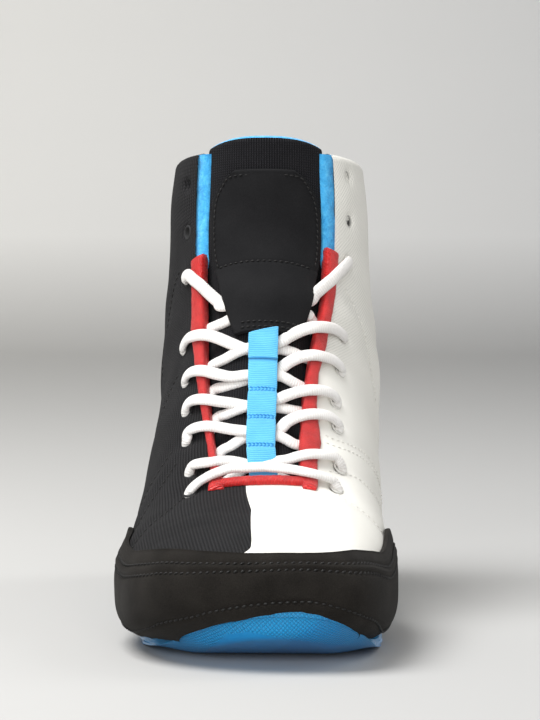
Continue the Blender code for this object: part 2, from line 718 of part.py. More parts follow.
def make_keeper():
    rows = spaced(*KEEPER_ROWS, 16)
    bm = front_strip(rows, lambda place, arc: KEEPER_WIDTH / 2, lambda place: TONGUE_DEPTH - FIT - keeper_lift(place), 1)
    keeper = new_object("lace_keeper", bm, material("keeper_webbing", (0.10, 0.50, 0.85), 0.6))
    add_modifier(keeper, "SOLIDIFY", thickness=KEEPER_THICKNESS, offset=1, use_even_offset=False)
    return keeper


def lace_tube(name, route):
    """An oval cord along a route, made a closed mesh."""
    curve = bpy.data.curves.new(name, "CURVE")
    curve.dimensions = "3D"
    curve.bevel_depth = LACE_THICKNESS / 2
    curve.bevel_resolution = 1
    curve.use_fill_caps = True
    line = curve.splines.new("POLY")
    line.points.add(len(route) - 1)
    for point, place in zip(line.points, route):
        point.co = (*place, 1)
    drawn = bpy.data.objects.new(name, curve)
    CUTTERS.objects.link(drawn)
    mesh = bpy.data.meshes.new_from_object(drawn.evaluated_get(bpy.context.evaluated_depsgraph_get()))
    bpy.data.objects.remove(drawn)
    bm = bmesh.new()
    bm.from_mesh(mesh)
    bmesh.ops.remove_doubles(bm, verts=bm.verts, dist=1e-6)
    face_outward(bm)
    return bm


LACE_SHORT = 0.0009
LACE_END = 9.0
LACE_RISE, LACE_OVER, LACE_BEYOND = 0.74, 0.95, 1.3
LACE_MARKS = (LACE_END, LACE_BEYOND, LACE_OVER, LACE_RISE, 0.0, -LACE_RISE, -LACE_OVER, -LACE_BEYOND, -LACE_END)


def make_laces():
    """Two crossing cords from eyelet to eyelet and the bar across the foot, joined into one solid."""
    laced = [pair for pair in EYELETS if pair.laced]
    routes = []
    for first in (-1, 1):
        route = []
        for number, (low, high) in enumerate(zip(laced, laced[1:])):
            side = first if number % 2 == 0 else -first
            start = low.lateral if side < 0 else low.medial
            end = high.medial if side < 0 else high.lateral
            route += lace_route(start, end, side)[bool(route):]
        routes.append(route)
    foot = laced[0]
    bar = lace_route(foot.lateral, foot.medial, -1, KEEPER_THICKNESS + LACE_THICKNESS + 6 * FIT)
    laces = new_object("laces", lace_tube("lace_over", routes[0]), material("lace_cotton", (0.88, 0.86, 0.82), 0.75))
    for name, route in (("lace_under", routes[1]), ("lace_foot", bar)):
        other = cutter(name, lace_tube(name, route))
        add_modifier(laces, "BOOLEAN", object=other, operation="UNION", solver="EXACT")
    return laces


def stand_at_origin():
    """Moves the shoe so that the middle of its box stands on the origin."""
    bpy.context.view_layer.update()
    graph = bpy.context.evaluated_depsgraph_get()
    corners = []
    for obj in SHOE.objects:
        evaluated = obj.evaluated_get(graph)
        corners += [evaluated.matrix_world @ Vector(corner) for corner in evaluated.bound_box]
    low = [min(corner[axis] for corner in corners) for axis in range(3)]
    high = [max(corner[axis] for corner in corners) for axis in range(3)]
    step = Vector((-(low[0] + high[0]) / 2, -(low[1] + high[1]) / 2, -low[2]))
    for obj in list(SHOE.objects) + list(CUTTERS.objects):
        obj.location += step


def main():
    make_outsole()
    make_insole()
    make_upper()
    make_toe_cap()
    make_piping()
    make_tongue()
    make_tab()
    make_keeper()
    make_laces()
    stand_at_origin()


for old in list(bpy.data.objects):
    bpy.data.objects.remove(old)
SHOE = bpy.data.collections.new("wrestling_shoe")
CUTTERS = bpy.data.collections.new("cutters")
bpy.context.scene.collection.children.link(SHOE)
bpy.context.scene.collection.children.link(CUTTERS)
main()
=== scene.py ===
"""Looks of the high-top wrestling shoe: knit, synthetic, suede, satin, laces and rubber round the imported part."""

import math
from collections import namedtuple

import bmesh
import bpy
import numpy as np
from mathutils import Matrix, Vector, noise
from mathutils.bvhtree import BVHTree


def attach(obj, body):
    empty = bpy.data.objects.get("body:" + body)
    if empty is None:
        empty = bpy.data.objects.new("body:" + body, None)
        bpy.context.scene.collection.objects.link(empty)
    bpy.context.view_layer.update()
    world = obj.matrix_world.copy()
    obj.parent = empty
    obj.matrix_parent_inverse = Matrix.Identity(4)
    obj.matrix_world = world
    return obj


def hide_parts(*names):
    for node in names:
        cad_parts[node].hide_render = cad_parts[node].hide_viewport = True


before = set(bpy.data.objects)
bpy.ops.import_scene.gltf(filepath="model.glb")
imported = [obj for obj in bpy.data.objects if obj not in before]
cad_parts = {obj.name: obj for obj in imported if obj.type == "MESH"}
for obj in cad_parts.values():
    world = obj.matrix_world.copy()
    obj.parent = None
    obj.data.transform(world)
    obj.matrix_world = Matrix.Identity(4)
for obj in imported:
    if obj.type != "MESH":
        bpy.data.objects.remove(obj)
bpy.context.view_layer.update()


# Camera: low in front of the toe, a little to the inner side
AZIMUTH, PITCH = 2.5, 3.5
DISTANCE, EYE_HEIGHT, EYE_SHIFT = 1.25, 0.175, 0.0020
FOCAL_PIXELS, FRAME_HEIGHT = 3294, 720


def place_camera():
    turn = math.radians(AZIMUTH)
    ahead = Vector((-math.sin(turn), math.cos(turn), 0))
    aside = Vector((math.cos(turn), math.sin(turn), 0))
    data = bpy.data.cameras.new("photo_camera")
    data.sensor_width = 36
    data.lens = data.sensor_width * FOCAL_PIXELS / FRAME_HEIGHT
    data.clip_start, data.clip_end = 0.05, 30
    camera = bpy.data.objects.new("photo_camera", data)
    camera.location = -ahead * DISTANCE + aside * EYE_SHIFT + Vector((0, 0, EYE_HEIGHT))
    camera.rotation_euler = (math.radians(90 - PITCH), 0, turn)
    bpy.context.scene.collection.objects.link(camera)
    bpy.context.scene.camera = camera


place_camera()


# The last that the upper is drawn over, as in the part
UPPER_LENGTH, BALL_WIDTH, ANKLE_WIDTH, COLLAR_WIDTH = 0.278, 0.104, 0.087, 0.073
VAMP_HEIGHT, COLLAR_HEIGHT, THROAT_WIDTH = 0.058, 0.179, 0.048
SOLE_LENGTH, SOLE_WIDTH, SOLE_THICKNESS, HEEL_THICKNESS = 0.273, 0.0855, 0.0042, 0.0076
TOE_SPRING, HEEL_SPRING, ARCH_LIFT = 0.0145, 0.003, 0.0035
STEP = np.array((-0.000524, 0.00127, 0.0))
W, A, C = BALL_WIDTH, ANKLE_WIDTH, COLLAR_WIDTH
V, H = VAMP_HEIGHT, COLLAR_HEIGHT
# width, height, low y, low z, top y, top z, crest, lateral, medial, widest, low round, top round, throat
SECTIONS = (
    (W, V, -0.4990, 0.360, -0.5000, 0.450, 0.150, 0.060, 0.060, 0.50, 2.2, 2.2, 0.03),
    (W, V, -0.4915, 0.322, -0.4890, 0.585, 0.138, 0.215, 0.165, 0.42, 2.6, 2.4, 0.10),
    (W, V, -0.4670, 0.255, -0.4610, 0.690, 0.120, 0.350, 0.262, 0.38, 3.0, 2.5, 0.17),
    (W, V, -0.4150, 0.166, -0.4080, 0.770, 0.092, 0.446, 0.338, 0.36, 3.9, 2.5, 0.23),
    (W, V, -0.3430, 0.104, -0.3380, 0.845, 0.062, 0.487, 0.396, 0.34, 4.6, 2.5, 0.27),
    (W, V, -0.2600, 0.077, -0.2720, 0.920, 0.038, 0.503, 0.436, 0.34, 4.6, 2.45, 0.29),
    (W, V, -0.1740, 0.077, -0.2140, 1.010, 0.022, 0.484, 0.452, 0.34, 4.4, 2.4, 0.30),
    (W, V, -0.0720, 0.112, -0.1640, 1.180, -0.005, 0.450, 0.458, 0.34, 3.4, 2.3, 0.33),
    (W, V, 0.0540, 0.150, -0.1100, 1.415, -0.015, 0.427, 0.450, 0.36, 2.7, 2.3, 0.365),
    (A, H, 0.1980, 0.048, -0.0590, 0.542, -0.020, 0.500, 0.529, 0.40, 2.6, 2.3, 0.41),
    (A, H, 0.3600, 0.046, -0.0150, 0.624, -0.015, 0.491, 0.507, 0.44, 2.3, 2.3, 0.445),
    (A, H, 0.4700, 0.064, 0.0140, 0.695, -0.006, 0.490, 0.494, 0.50, 2.1, 2.3, 0.475),
    (A, H, 0.5000, 0.185, 0.0340, 0.760, -0.006, 0.482, 0.486, 0.54, 2.0, 2.3, 0.49),
    (A, H, 0.4860, 0.345, 0.0460, 0.816, -0.006, 0.470, 0.474, 0.54, 2.0, 2.3, 0.495),
    (A, H, 0.4480, 0.520, 0.0530, 0.866, -0.006, 0.455, 0.457, 0.53, 2.0, 2.3, 0.495),
    (C, H, 0.4260, 0.685, 0.0565, 0.912, -0.007, 0.523, 0.523, 0.51, 2.1, 2.3, 0.49),
    (C, H, 0.4240, 0.820, 0.0575, 0.956, -0.007, 0.510, 0.506, 0.50, 2.1, 2.3, 0.485),
    (C, H, 0.4310, 0.945, 0.0575, 1.000, -0.007, 0.500, 0.496, 0.50, 2.1, 2.3, 0.48),
    (C, H, 0.4360, 1.020, 0.0575, 1.070, -0.007, 0.496, 0.492, 0.50, 2.1, 2.3, 0.475),
)
THROAT_FOOT, ANKLE_ROW = 6, 12.5


def spline(values, place):
    """The smooth curve through evenly numbered values."""
    last = len(values) - 1
    start = min(max(int(place), 0), last - 1)
    share = place - start
    here, after = values[start], values[start + 1]
    slope_here = (after - values[start - 1]) / 2 if start else after - here
    slope_after = (values[start + 2] - here) / 2 if start + 2 <= last else after - here
    square, cube = share**2, share**3
    return (
        (2 * cube - 3 * square + 1) * here
        + (cube - 2 * square + share) * slope_here
        + (3 * square - 2 * cube) * after
        + (cube - square) * slope_after
    )


def table_at(rows, column, along):
    """One column of a table whose first column is the place along the shoe."""
    keys = [row[0] for row in rows]
    along = min(max(along, keys[0]), keys[-1])
    number = next(i for i in range(1, len(keys)) if along <= keys[i])
    share = (along - keys[number - 1]) / (keys[number] - keys[number - 1])
    return float(spline(np.array([row[column] for row in rows]), number - 1 + share))


def run_along(points):
    """The length along a line of points, at each of them."""
    return np.concatenate([[0], np.cumsum(np.linalg.norm(np.diff(points, axis=0), axis=1))])


def row_at(rows, place, column=1):
    """One column of a table whose first column rises, read straight between its rows."""
    return np.interp(place, [row[0] for row in rows], [row[column] for row in rows])


def unit(vectors):
    return vectors / np.linalg.norm(vectors, axis=-1, keepdims=True)


def rounded(wave, power):
    """A wave made squarer or rounder by a power, with its sign kept."""
    return np.sign(wave) * np.abs(wave) ** power


def unevenness(points, scale):
    """Smooth noise at each point, from -1 to 1."""
    return np.array([noise.noise(Vector(point) * scale) for point in points])


def eased(values, start, end):
    """0 before start, 1 after end, and smooth between."""
    share = np.clip((np.asarray(values, float) - start) / (end - start), 0, 1)
    return share * share * (3 - 2 * share)


def between(table, i, j, u, v):
    """A table of vectors read between rows i and i + 1 and columns j and j + 1."""
    low = table[i, j] * (1 - v) + table[i, j + 1] * v
    high = table[i + 1, j] * (1 - v) + table[i + 1, j + 1] * v
    return low * (1 - u) + high * u


class Last:
    """The last's surface, read by section number and by the distance from the crest: lateral is negative."""

    FINE, SIDE = 12, 120

    def __init__(self):
        width, height, *rest = np.array(SECTIONS).T
        low_y, low_z, top_y, top_z, crest, lateral, medial, widest, low_round, top_round, throat = rest
        real = np.array(
            (low_y * UPPER_LENGTH, low_z * height, top_y * UPPER_LENGTH, top_z * height, crest * width,
             lateral * width, medial * width, widest, low_round, top_round, throat * THROAT_WIDTH)
        ).T
        count = (len(SECTIONS) - 1) * self.FINE + 1
        self.points = np.zeros((count, 2 * self.SIDE + 1, 3))
        self.length = np.zeros((2, count))
        self.throat = np.zeros((2, count))
        for row in range(count):
            sizes = spline(real, row / self.FINE)
            for side in (0, 1):
                run, points = self.arc(sizes, side)
                self.length[side, row] = run[-1]
                offset = np.abs(points[:, 0] - sizes[4])
                widest = int(offset.argmax())
                edge = np.interp(-sizes[10], -offset[widest:], run[widest:])
                self.throat[side, row] = run[-1] - edge
                even = np.linspace(run[-1], 0, self.SIDE + 1)
                line = np.stack([np.interp(even, run, points[:, axis]) for axis in range(3)], 1)
                if side:
                    self.points[row, self.SIDE:] = line
                else:
                    self.points[row, self.SIDE::-1] = line
        self.points += STEP
        aside = np.gradient(self.points, axis=1)
        along = np.gradient(self.points, axis=0)
        normals = np.cross(aside, along)
        size = np.linalg.norm(normals, axis=2, keepdims=True)
        self.normals = normals / np.maximum(size, 1e-12)
        crest = self.points[:, self.SIDE]
        self.along = run_along(crest)

    @staticmethod
    def arc(sizes, side):
        low_y, low_z, top_y, top_z, crest, lateral, medial, widest, low_round, top_round, _ = sizes
        angle = np.linspace(-math.pi / 2, math.pi / 2, 145)
        lift, spread = np.sin(angle), np.clip(np.cos(angle), 0, None)
        power = np.where(lift < 0, 2 / low_round, 2 / top_round)
        rise = widest + np.where(lift < 0, widest, 1 - widest) * np.sign(lift) * np.abs(lift) ** power
        reach = (medial if side else -lateral) * spread**power
        points = np.stack([crest + reach, low_y + (top_y - low_y) * rise, low_z + (top_z - low_z) * rise], 1)
        return run_along(points), points

    def row(self, values, place):
        return np.interp(np.asarray(place, float) * self.FINE, np.arange(len(values)), values)

    def side_length(self, place, aside):
        return np.where(np.asarray(aside) < 0, self.row(self.length[0], place), self.row(self.length[1], place))

    def throat_at(self, place, side):
        """How far from the crest the throat's edge is."""
        return self.row(self.throat[0 if side < 0 else 1], place)

    def read(self, table, place, share):
        i = np.clip(np.asarray(place, float) * self.FINE, 0, len(table) - 1.001)
        j = np.clip((np.asarray(share, float) + 1) * self.SIDE, 0, 2 * self.SIDE - 0.001)
        i0, j0 = i.astype(int), j.astype(int)
        u, v = (i - i0)[..., None], (j - j0)[..., None]
        return between(table, i0, j0, u, v)

    def at(self, place, aside, out=0.0):
        """Points at a distance aside from the crest, moved out along the surface's normals."""
        place, aside = np.broadcast_arrays(np.asarray(place, float), np.asarray(aside, float))
        share = aside / self.side_length(place, aside)
        normals = self.normal(place, aside)
        return self.read(self.points, place, share) + normals * np.asarray(out)[..., None]

    def ahead(self, place, aside, step=0.08):
        """Unit directions along the surface towards the collar."""
        return unit(self.at(place + step, aside) - self.at(place - step, aside))

    def weave(self, place, aside):
        """The cloth's map in metres: distance from the crest, and along it."""
        return np.stack([aside, self.row(self.along, place)], 1)

    def normal(self, place, aside):
        place, aside = np.broadcast_arrays(np.asarray(place, float), np.asarray(aside, float))
        normals = self.read(self.normals, place, aside / self.side_length(place, aside))
        return unit(normals)


LAST = Last()


# Placing pieces: each starts as a primitive grid, laid on the last by the place of its rows and columns
# Points of the skin and the eyelets that are nearer than this are one
SKIN_DOUBLES = 2e-5


def deselect():
    bpy.ops.object.select_all(action="DESELECT")


def grid(name, columns, rows, lay, closed=False):
    """A grid whose points go where lay(across, up) says, both from 0 to 1. lay also gives the map in metres."""
    deselect()
    bpy.ops.mesh.primitive_grid_add(x_subdivisions=columns, y_subdivisions=rows, size=1, location=(0, 0, 0))
    piece = bpy.context.object
    piece.name = piece.data.name = name
    mesh = piece.data
    flat = np.zeros(len(mesh.vertices) * 3)
    mesh.vertices.foreach_get("co", flat)
    flat = flat.reshape(-1, 3)
    points, weave = lay(flat[:, 0] + 0.5, flat[:, 1] + 0.5)
    mesh.vertices.foreach_set("co", np.ascontiguousarray(points, np.float32).ravel())
    loops = np.zeros(len(mesh.loops), np.int32)
    mesh.loops.foreach_get("vertex_index", loops)
    mesh.uv_layers.active.data.foreach_set("uv", np.ascontiguousarray(weave[loops], np.float32).ravel())
    if closed:
        work_mesh(mesh, lambda bm: merge_doubles(bm, SKIN_DOUBLES))
    mesh.shade_smooth()
    mesh.update()
    return piece


def work_mesh(mesh, work):
    bm = bmesh.new()
    bm.from_mesh(mesh)
    work(bm)
    bm.to_mesh(mesh)
    bm.free()


def merge_doubles(bm, dist=1e-5):
    bmesh.ops.remove_doubles(bm, verts=bm.verts, dist=dist)


def merged(piece):
    """Merges the seams of a closed piece laid from a grid, and turns it outward."""

    def close(bm):
        merge_doubles(bm)
        bmesh.ops.recalc_face_normals(bm, faces=bm.faces)

    work_mesh(piece.data, close)
    return piece


def dress(piece, finish, replaces=()):
    for material in finish if isinstance(finish, (list, tuple)) else (finish,):
        piece.data.materials.append(material)
    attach(piece, "root")
    if replaces:
        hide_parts(*replaces)
    return piece


def joined(name, copies):
    """One object from several, each with its own mesh."""
    deselect()
    for copy in copies:
        copy.select_set(True)
    bpy.context.view_layer.objects.active = copies[0]
    bpy.ops.object.join()
    copies[0].name = copies[0].data.name = name
    return copies[0]


def smooth_line(points, count):
    """A smooth line through points, read at evenly spaced places along it."""
    points = np.asarray(points, float)
    fine = np.array([spline(points, t) for t in np.linspace(0, len(points) - 1, 24 * (len(points) - 1) + 1)])
    run = run_along(fine)
    even = np.linspace(0, run[-1], count)
    return np.stack([np.interp(even, run, fine[:, axis]) for axis in range(fine.shape[1])], 1)


def thread_stitches(name, line, outs, length, pitch, radius, slant=0.0, sink=0.3):
    """Stitches along a line of points, each a short rounded thread that dips into the cloth at both ends."""
    line, outs = np.asarray(line, float), np.asarray(outs, float)
    run = run_along(line)
    middles = np.arange(pitch / 2, run[-1] - pitch / 3, pitch)
    # Shares of the length along, of the radius round, and of the lift
    rings = (-0.5, 0.25, -1.0), (-0.36, 0.85, -0.25), (0.0, 1.0, 0.35), (0.36, 0.85, -0.25), (0.5, 0.25, -1.0)
    verts, polys = [], []
    for middle in middles:
        here, beyond, out = (
            np.array([np.interp(where, run, values[:, axis]) for axis in range(3)])
            for where, values in ((middle, line), (middle + 0.0004, line), (middle, outs))
        )
        ahead = beyond - here
        out /= np.linalg.norm(out)
        ahead -= out * (ahead @ out)
        ahead /= max(np.linalg.norm(ahead), 1e-12)
        side = np.cross(out, ahead)
        cos, sin = math.cos(slant), math.sin(slant)
        ahead, side = ahead * cos + side * sin, side * cos - ahead * sin
        base = len(verts)
        for along, girth, lift in rings:
            for k in range(6):
                turn = math.tau * k / 6
                verts.append(
                    here + ahead * along * length + out * radius * (lift * sink * 3 + girth * math.sin(turn))
                    + side * radius * girth * math.cos(turn)
                )
        for ring in range(4):
            for k in range(6):
                a, b = base + 6 * ring + k, base + 6 * ring + (k + 1) % 6
                polys.append((a, b, b + 6, a + 6))
        polys.append(tuple(base + k for k in range(5, -1, -1)))
        polys.append(tuple(base + 24 + k for k in range(6)))
    mesh = bpy.data.meshes.new(name)
    mesh.from_pydata([tuple(v) for v in verts], [], polys)
    mesh.shade_smooth()
    piece = bpy.data.objects.new(name, mesh)
    bpy.context.scene.collection.objects.link(piece)
    return piece


# Finishes: shared effects are node groups, and each finish is one Principled shader
def feed(tree, socket, value):
    """Links a socket to another, or sets its value."""
    if isinstance(value, bpy.types.NodeSocket):
        tree.links.new(value, socket)
    else:
        socket.default_value = value


def add_node(tree, kind, inputs=None, **settings):
    made = tree.nodes.new(kind)
    for key, value in settings.items():
        setattr(made, key, value)
    for key, value in (inputs or {}).items():
        feed(tree, made.inputs[key], value)
    return made


def maths(tree, operation, *values):
    made = add_node(tree, "ShaderNodeMath", operation=operation)
    for socket, value in zip(made.inputs, values):
        feed(tree, socket, value)
    return made.outputs[0]


def weighted(tree, *terms):
    """The sum of sockets, each given with its weight."""
    total, *others = [maths(tree, "MULTIPLY", socket, weight) for socket, weight in terms]
    for term in others:
        total = maths(tree, "ADD", total, term)
    return total


def ranged(tree, value, start, end, low=0.0, high=1.0):
    """A value moved from one range to another, and held within it."""
    return add_node(tree, "ShaderNodeMapRange", {0: value, 1: start, 2: end, 3: low, 4: high}).outputs[0]


def axes(tree, vector=None):
    """The three numbers of a vector socket, or of the place on the object."""
    vector = vector or add_node(tree, "ShaderNodeTexCoord").outputs["Object"]
    return add_node(tree, "ShaderNodeSeparateXYZ", {0: vector}).outputs


def effect(name, inputs, outputs, build):
    """A node group, built once. build gets the tree and its input sockets by name, and returns output sockets."""
    tree = bpy.data.node_groups.new(name, "ShaderNodeTree")
    for label, kind, value in inputs:
        socket = tree.interface.new_socket(name=label, in_out="INPUT", socket_type=kind)
        if value is not None:
            socket.default_value = value
    for label, kind in outputs:
        tree.interface.new_socket(name=label, in_out="OUTPUT", socket_type=kind)
    entry = tree.nodes.new("NodeGroupInput")
    leave = tree.nodes.new("NodeGroupOutput")
    for socket, label in zip(build(tree, {s.name: s for s in entry.outputs}), [label for label, _ in outputs]):
        tree.links.new(socket, leave.inputs[label])
    return tree


FLOAT, VECTOR = "NodeSocketFloat", "NodeSocketVector"


def build_knit(tree, given):
    """Wales of V-shaped loops."""
    parts = axes(tree, given["Map"])
    across = maths(tree, "DIVIDE", parts[0], given["Wale"])
    off = maths(tree, "ABSOLUTE", maths(tree, "SUBTRACT", maths(tree, "FRACT", across), 0.5))
    off = maths(tree, "MULTIPLY", off, 2.0)
    up = maths(tree, "DIVIDE", parts[1], given["Course"])
    place = maths(tree, "ADD", up, maths(tree, "MULTIPLY", off, 0.6))
    loops = maths(tree, "SINE", maths(tree, "MULTIPLY", place, math.tau))
    wale = maths(tree, "SUBTRACT", 1.0, maths(tree, "POWER", off, 2.2))
    return [weighted(tree, (wale, 0.75), (loops, 0.2))]


def build_weave(tree, given):
    """Threads that pass over and under each other."""
    parts = axes(tree, given["Map"])
    across = maths(tree, "MULTIPLY", maths(tree, "DIVIDE", parts[0], given["Pitch"]), math.pi)
    up = maths(tree, "MULTIPLY", maths(tree, "DIVIDE", parts[1], given["Pitch"]), math.pi)
    a = maths(tree, "MULTIPLY", maths(tree, "SINE", across), maths(tree, "COSINE", up))
    b = maths(tree, "MULTIPLY", maths(tree, "COSINE", across), maths(tree, "SINE", up))
    return [maths(tree, "MAXIMUM", maths(tree, "ABSOLUTE", a), maths(tree, "ABSOLUTE", b))]


def build_ribs(tree, given):
    """Ribs across the map's second direction, a little uneven."""
    wander = add_node(tree, "ShaderNodeTexNoise", {"Vector": given["Map"], "Scale": 900.0, "Detail": 2.0})
    parts = axes(tree, given["Map"])
    place = maths(tree, "DIVIDE", parts[1], given["Pitch"])
    slope = maths(tree, "MULTIPLY", maths(tree, "DIVIDE", parts[0], given["Pitch"]), given["Slant"])
    shift = maths(tree, "MULTIPLY", wander.outputs[0], given["Wander"])
    place = maths(tree, "ADD", maths(tree, "ADD", place, slope), shift)
    wave = maths(tree, "SINE", maths(tree, "MULTIPLY", place, math.tau))
    return [maths(tree, "MULTIPLY_ADD", wave, 0.5, 0.5)]


def build_grain(tree, given):
    """Fine grain over a broad unevenness, on Object coordinates."""
    place = add_node(tree, "ShaderNodeTexCoord").outputs["Object"]
    kind = "ShaderNodeTexNoise"
    fine = add_node(tree, kind, {"Vector": place, "Scale": given["Scale"], "Detail": 4.0, "Roughness": 0.6})
    broad = add_node(tree, kind, {"Vector": place, "Scale": given["Broad"], "Detail": 3.0})
    return [fine.outputs[0], broad.outputs[0]]


def build_diamonds(tree, given):
    """A raised diamond grid of the tread."""
    parts = axes(tree, given["Map"])
    lines = []
    for sign in (1.0, -1.0):
        place = maths(tree, "ADD", parts[0], maths(tree, "MULTIPLY", parts[1], sign))
        turn = maths(tree, "MULTIPLY", maths(tree, "DIVIDE", place, given["Pitch"]), math.pi)
        lines.append(maths(tree, "ABSOLUTE", maths(tree, "SINE", turn)))
    return [maths(tree, "POWER", maths(tree, "MULTIPLY", lines[0], lines[1]), 0.35)]


MAP_IN, HEIGHT_OUT = ("Map", VECTOR, None), [("Height", FLOAT)]
KNIT = effect("knit", [MAP_IN, ("Wale", FLOAT, 0.0012), ("Course", FLOAT, 0.001)], HEIGHT_OUT, build_knit)
WEAVE = effect("weave", [MAP_IN, ("Pitch", FLOAT, 0.001)], HEIGHT_OUT, build_weave)
RIBS_IN = [MAP_IN, ("Pitch", FLOAT, 0.001), ("Slant", FLOAT, 0.0), ("Wander", FLOAT, 0.3)]
RIBS = effect("ribs", RIBS_IN, HEIGHT_OUT, build_ribs)
GRAIN_IN, GRAIN_OUT = [("Scale", FLOAT, 900.0), ("Broad", FLOAT, 40.0)], [("Fine", FLOAT), ("Broad", FLOAT)]
GRAIN = effect("grain", GRAIN_IN, GRAIN_OUT, build_grain)
DIAMONDS = effect("diamonds", [MAP_IN, ("Pitch", FLOAT, 0.002)], HEIGHT_OUT, build_diamonds)


def colour_ramp(tree, factor, *stops):
    """A colour by a factor. Each stop is a position and a colour."""
    ramp = tree.nodes.new("ShaderNodeValToRGB")
    tree.links.new(factor, ramp.inputs[0])
    elements = ramp.color_ramp.elements
    elements[0].position, elements[0].color = stops[0][0], (*stops[0][1:], 1)
    elements[1].position, elements[1].color = stops[-1][0], (*stops[-1][1:], 1)
    for position, *colour in stops[1:-1]:
        elements.new(position).color = (*colour, 1)
    return ramp.outputs[0]


def use_effect(tree, group, **inputs):
    return add_node(tree, "ShaderNodeGroup", inputs, node_tree=group).outputs


def finish(name, build, roughness, bump, **sockets):
    """A finish: build gets the tree and the map socket, and returns colour, height and perhaps roughness sockets."""
    made = bpy.data.materials.new(name)
    made.use_nodes = True
    tree = made.node_tree
    shader = tree.nodes["Principled BSDF"]
    chart = add_node(tree, "ShaderNodeUVMap")
    colour, height, *rest = build(tree, chart.outputs[0])
    tree.links.new(colour, shader.inputs["Base Color"])
    shader.inputs["Roughness"].default_value = roughness
    if rest:
        tree.links.new(rest[0], shader.inputs["Roughness"])
    for key, value in sockets.items():
        shader.inputs[key.replace("_", " ")].default_value = value
    lifted = add_node(tree, "ShaderNodeBump", {"Height": height, "Strength": 1.0, "Distance": bump})
    tree.links.new(lifted.outputs[0], shader.inputs["Normal"])
    return made


def knitted(wale, course, broad, loops_share, *stops):
    """Knit loops under fine grain."""

    def build(tree, chart):
        loops = use_effect(tree, KNIT, Map=chart, Wale=wale, Course=course)[0]
        grain = use_effect(tree, GRAIN, Scale=1800.0, Broad=broad)
        height = weighted(tree, (loops, 1.0), (grain[0], 0.5))
        return colour_ramp(tree, weighted(tree, (height, loops_share), (grain[1], 0.3)), *stops), height

    return build


def napped(scale, broad, fine_share, broad_share, *stops, deep=False):
    """Grain alone: suede, thread and, where deep, plush, whose broad unevenness has height too."""

    def build(tree, _chart):
        grain = use_effect(tree, GRAIN, Scale=scale, Broad=broad)
        shade = weighted(tree, (grain[0], fine_share), (grain[1], broad_share))
        return colour_ramp(tree, shade, *stops), shade if deep else grain[0]

    return build


def ribbed(rib, wander, pitch, grains, heights, shades, *stops):
    """Ribs over a fine weave: lace and webbing. heights are of ribs and threads, shades of ribs and grain."""

    def build(tree, chart):
        ribs = use_effect(tree, RIBS, Map=chart, Pitch=rib, Slant=0.0, Wander=wander)[0]
        threads = use_effect(tree, WEAVE, Map=chart, Pitch=pitch)[0]
        grain = use_effect(tree, GRAIN, Scale=grains[0], Broad=grains[1])
        height = weighted(tree, (ribs, heights[0]), (threads, heights[1]))
        return colour_ramp(tree, weighted(tree, (ribs, shades[0]), (grain[1], shades[1])), *stops), height

    return build


def synthetic_white(tree, chart):
    """Smooth over the vamp, woven round ankle and shaft."""
    parts = axes(tree)
    woven = ranged(tree, parts[2], 0.088, 0.104)
    threads = use_effect(tree, WEAVE, Map=chart, Pitch=0.00135)[0]
    grain = use_effect(tree, GRAIN, Scale=1300.0, Broad=30.0)
    woven_threads = maths(tree, "MULTIPLY", threads, woven)
    height = weighted(tree, (grain[0], 0.30), (woven_threads, 0.8))
    plain = maths(tree, "SUBTRACT", 1.0, woven)
    shade = weighted(tree, (grain[1], 0.35), (woven, -0.05), (woven_threads, 0.5), (plain, 0.42))
    stops = (0.05, 0.50, 0.50, 0.46), (0.5, 0.79, 0.775, 0.72), (1.0, 0.88, 0.865, 0.81)
    return colour_ramp(tree, shade, *stops), height


def satin_red(tree, chart):
    threads = use_effect(tree, RIBS, Map=chart, Pitch=0.00052, Slant=0.12, Wander=0.9)[0]
    grain = use_effect(tree, GRAIN, Scale=1500.0, Broad=260.0)
    shade = weighted(tree, (threads, 0.45), (grain[1], 0.6))
    height = weighted(tree, (threads, 1.0), (grain[1], 0.7))
    stops = (0.15, 0.32, 0.001, 0.002), (0.5, 0.70, 0.006, 0.007), (0.9, 0.84, 0.035, 0.028)
    return colour_ramp(tree, shade, *stops), height


def rubber_blue(tree, chart):
    """Glossy rubber with a fine diamond grid between smooth facets, and painted shade low on the medial side."""
    grid_lines = use_effect(tree, DIAMONDS, Map=chart, Pitch=0.0015)[0]
    parts = axes(tree)
    # The facets under the toe: a corner that rises from the lateral side and falls to both
    rising = maths(tree, "MULTIPLY", maths(tree, "ADD", parts[0], 0.0187), 1.03)
    falling = maths(tree, "SUBTRACT", 0.0130, maths(tree, "MULTIPLY", maths(tree, "ABSOLUTE", parts[0]), 0.20))
    smooth = maths(tree, "LESS_THAN", parts[2], maths(tree, "MINIMUM", rising, falling))
    grain = use_effect(tree, GRAIN, Scale=900.0, Broad=25.0)
    gridded = maths(tree, "MULTIPLY", grid_lines, maths(tree, "SUBTRACT", 1.0, smooth))
    height = weighted(tree, (gridded, 1.0), (smooth, 0.75))
    # Painted shade: the rubber is darker low on the medial side, below a slanting line, where it turns from the
    # light.
    edge = maths(tree, "ADD", maths(tree, "MULTIPLY", parts[0], 0.9), -0.004)
    painted_shade_low_medial = maths(tree, "GREATER_THAN", edge, parts[2])
    shade = weighted(tree, (height, 0.5), (grain[1], 0.45), (smooth, -0.16), (painted_shade_low_medial, -0.10))
    stops = (0.1, 0.004, 0.14, 0.42), (0.5, 0.010, 0.29, 0.67), (0.9, 0.020, 0.40, 0.80)
    return colour_ramp(tree, shade, *stops), height


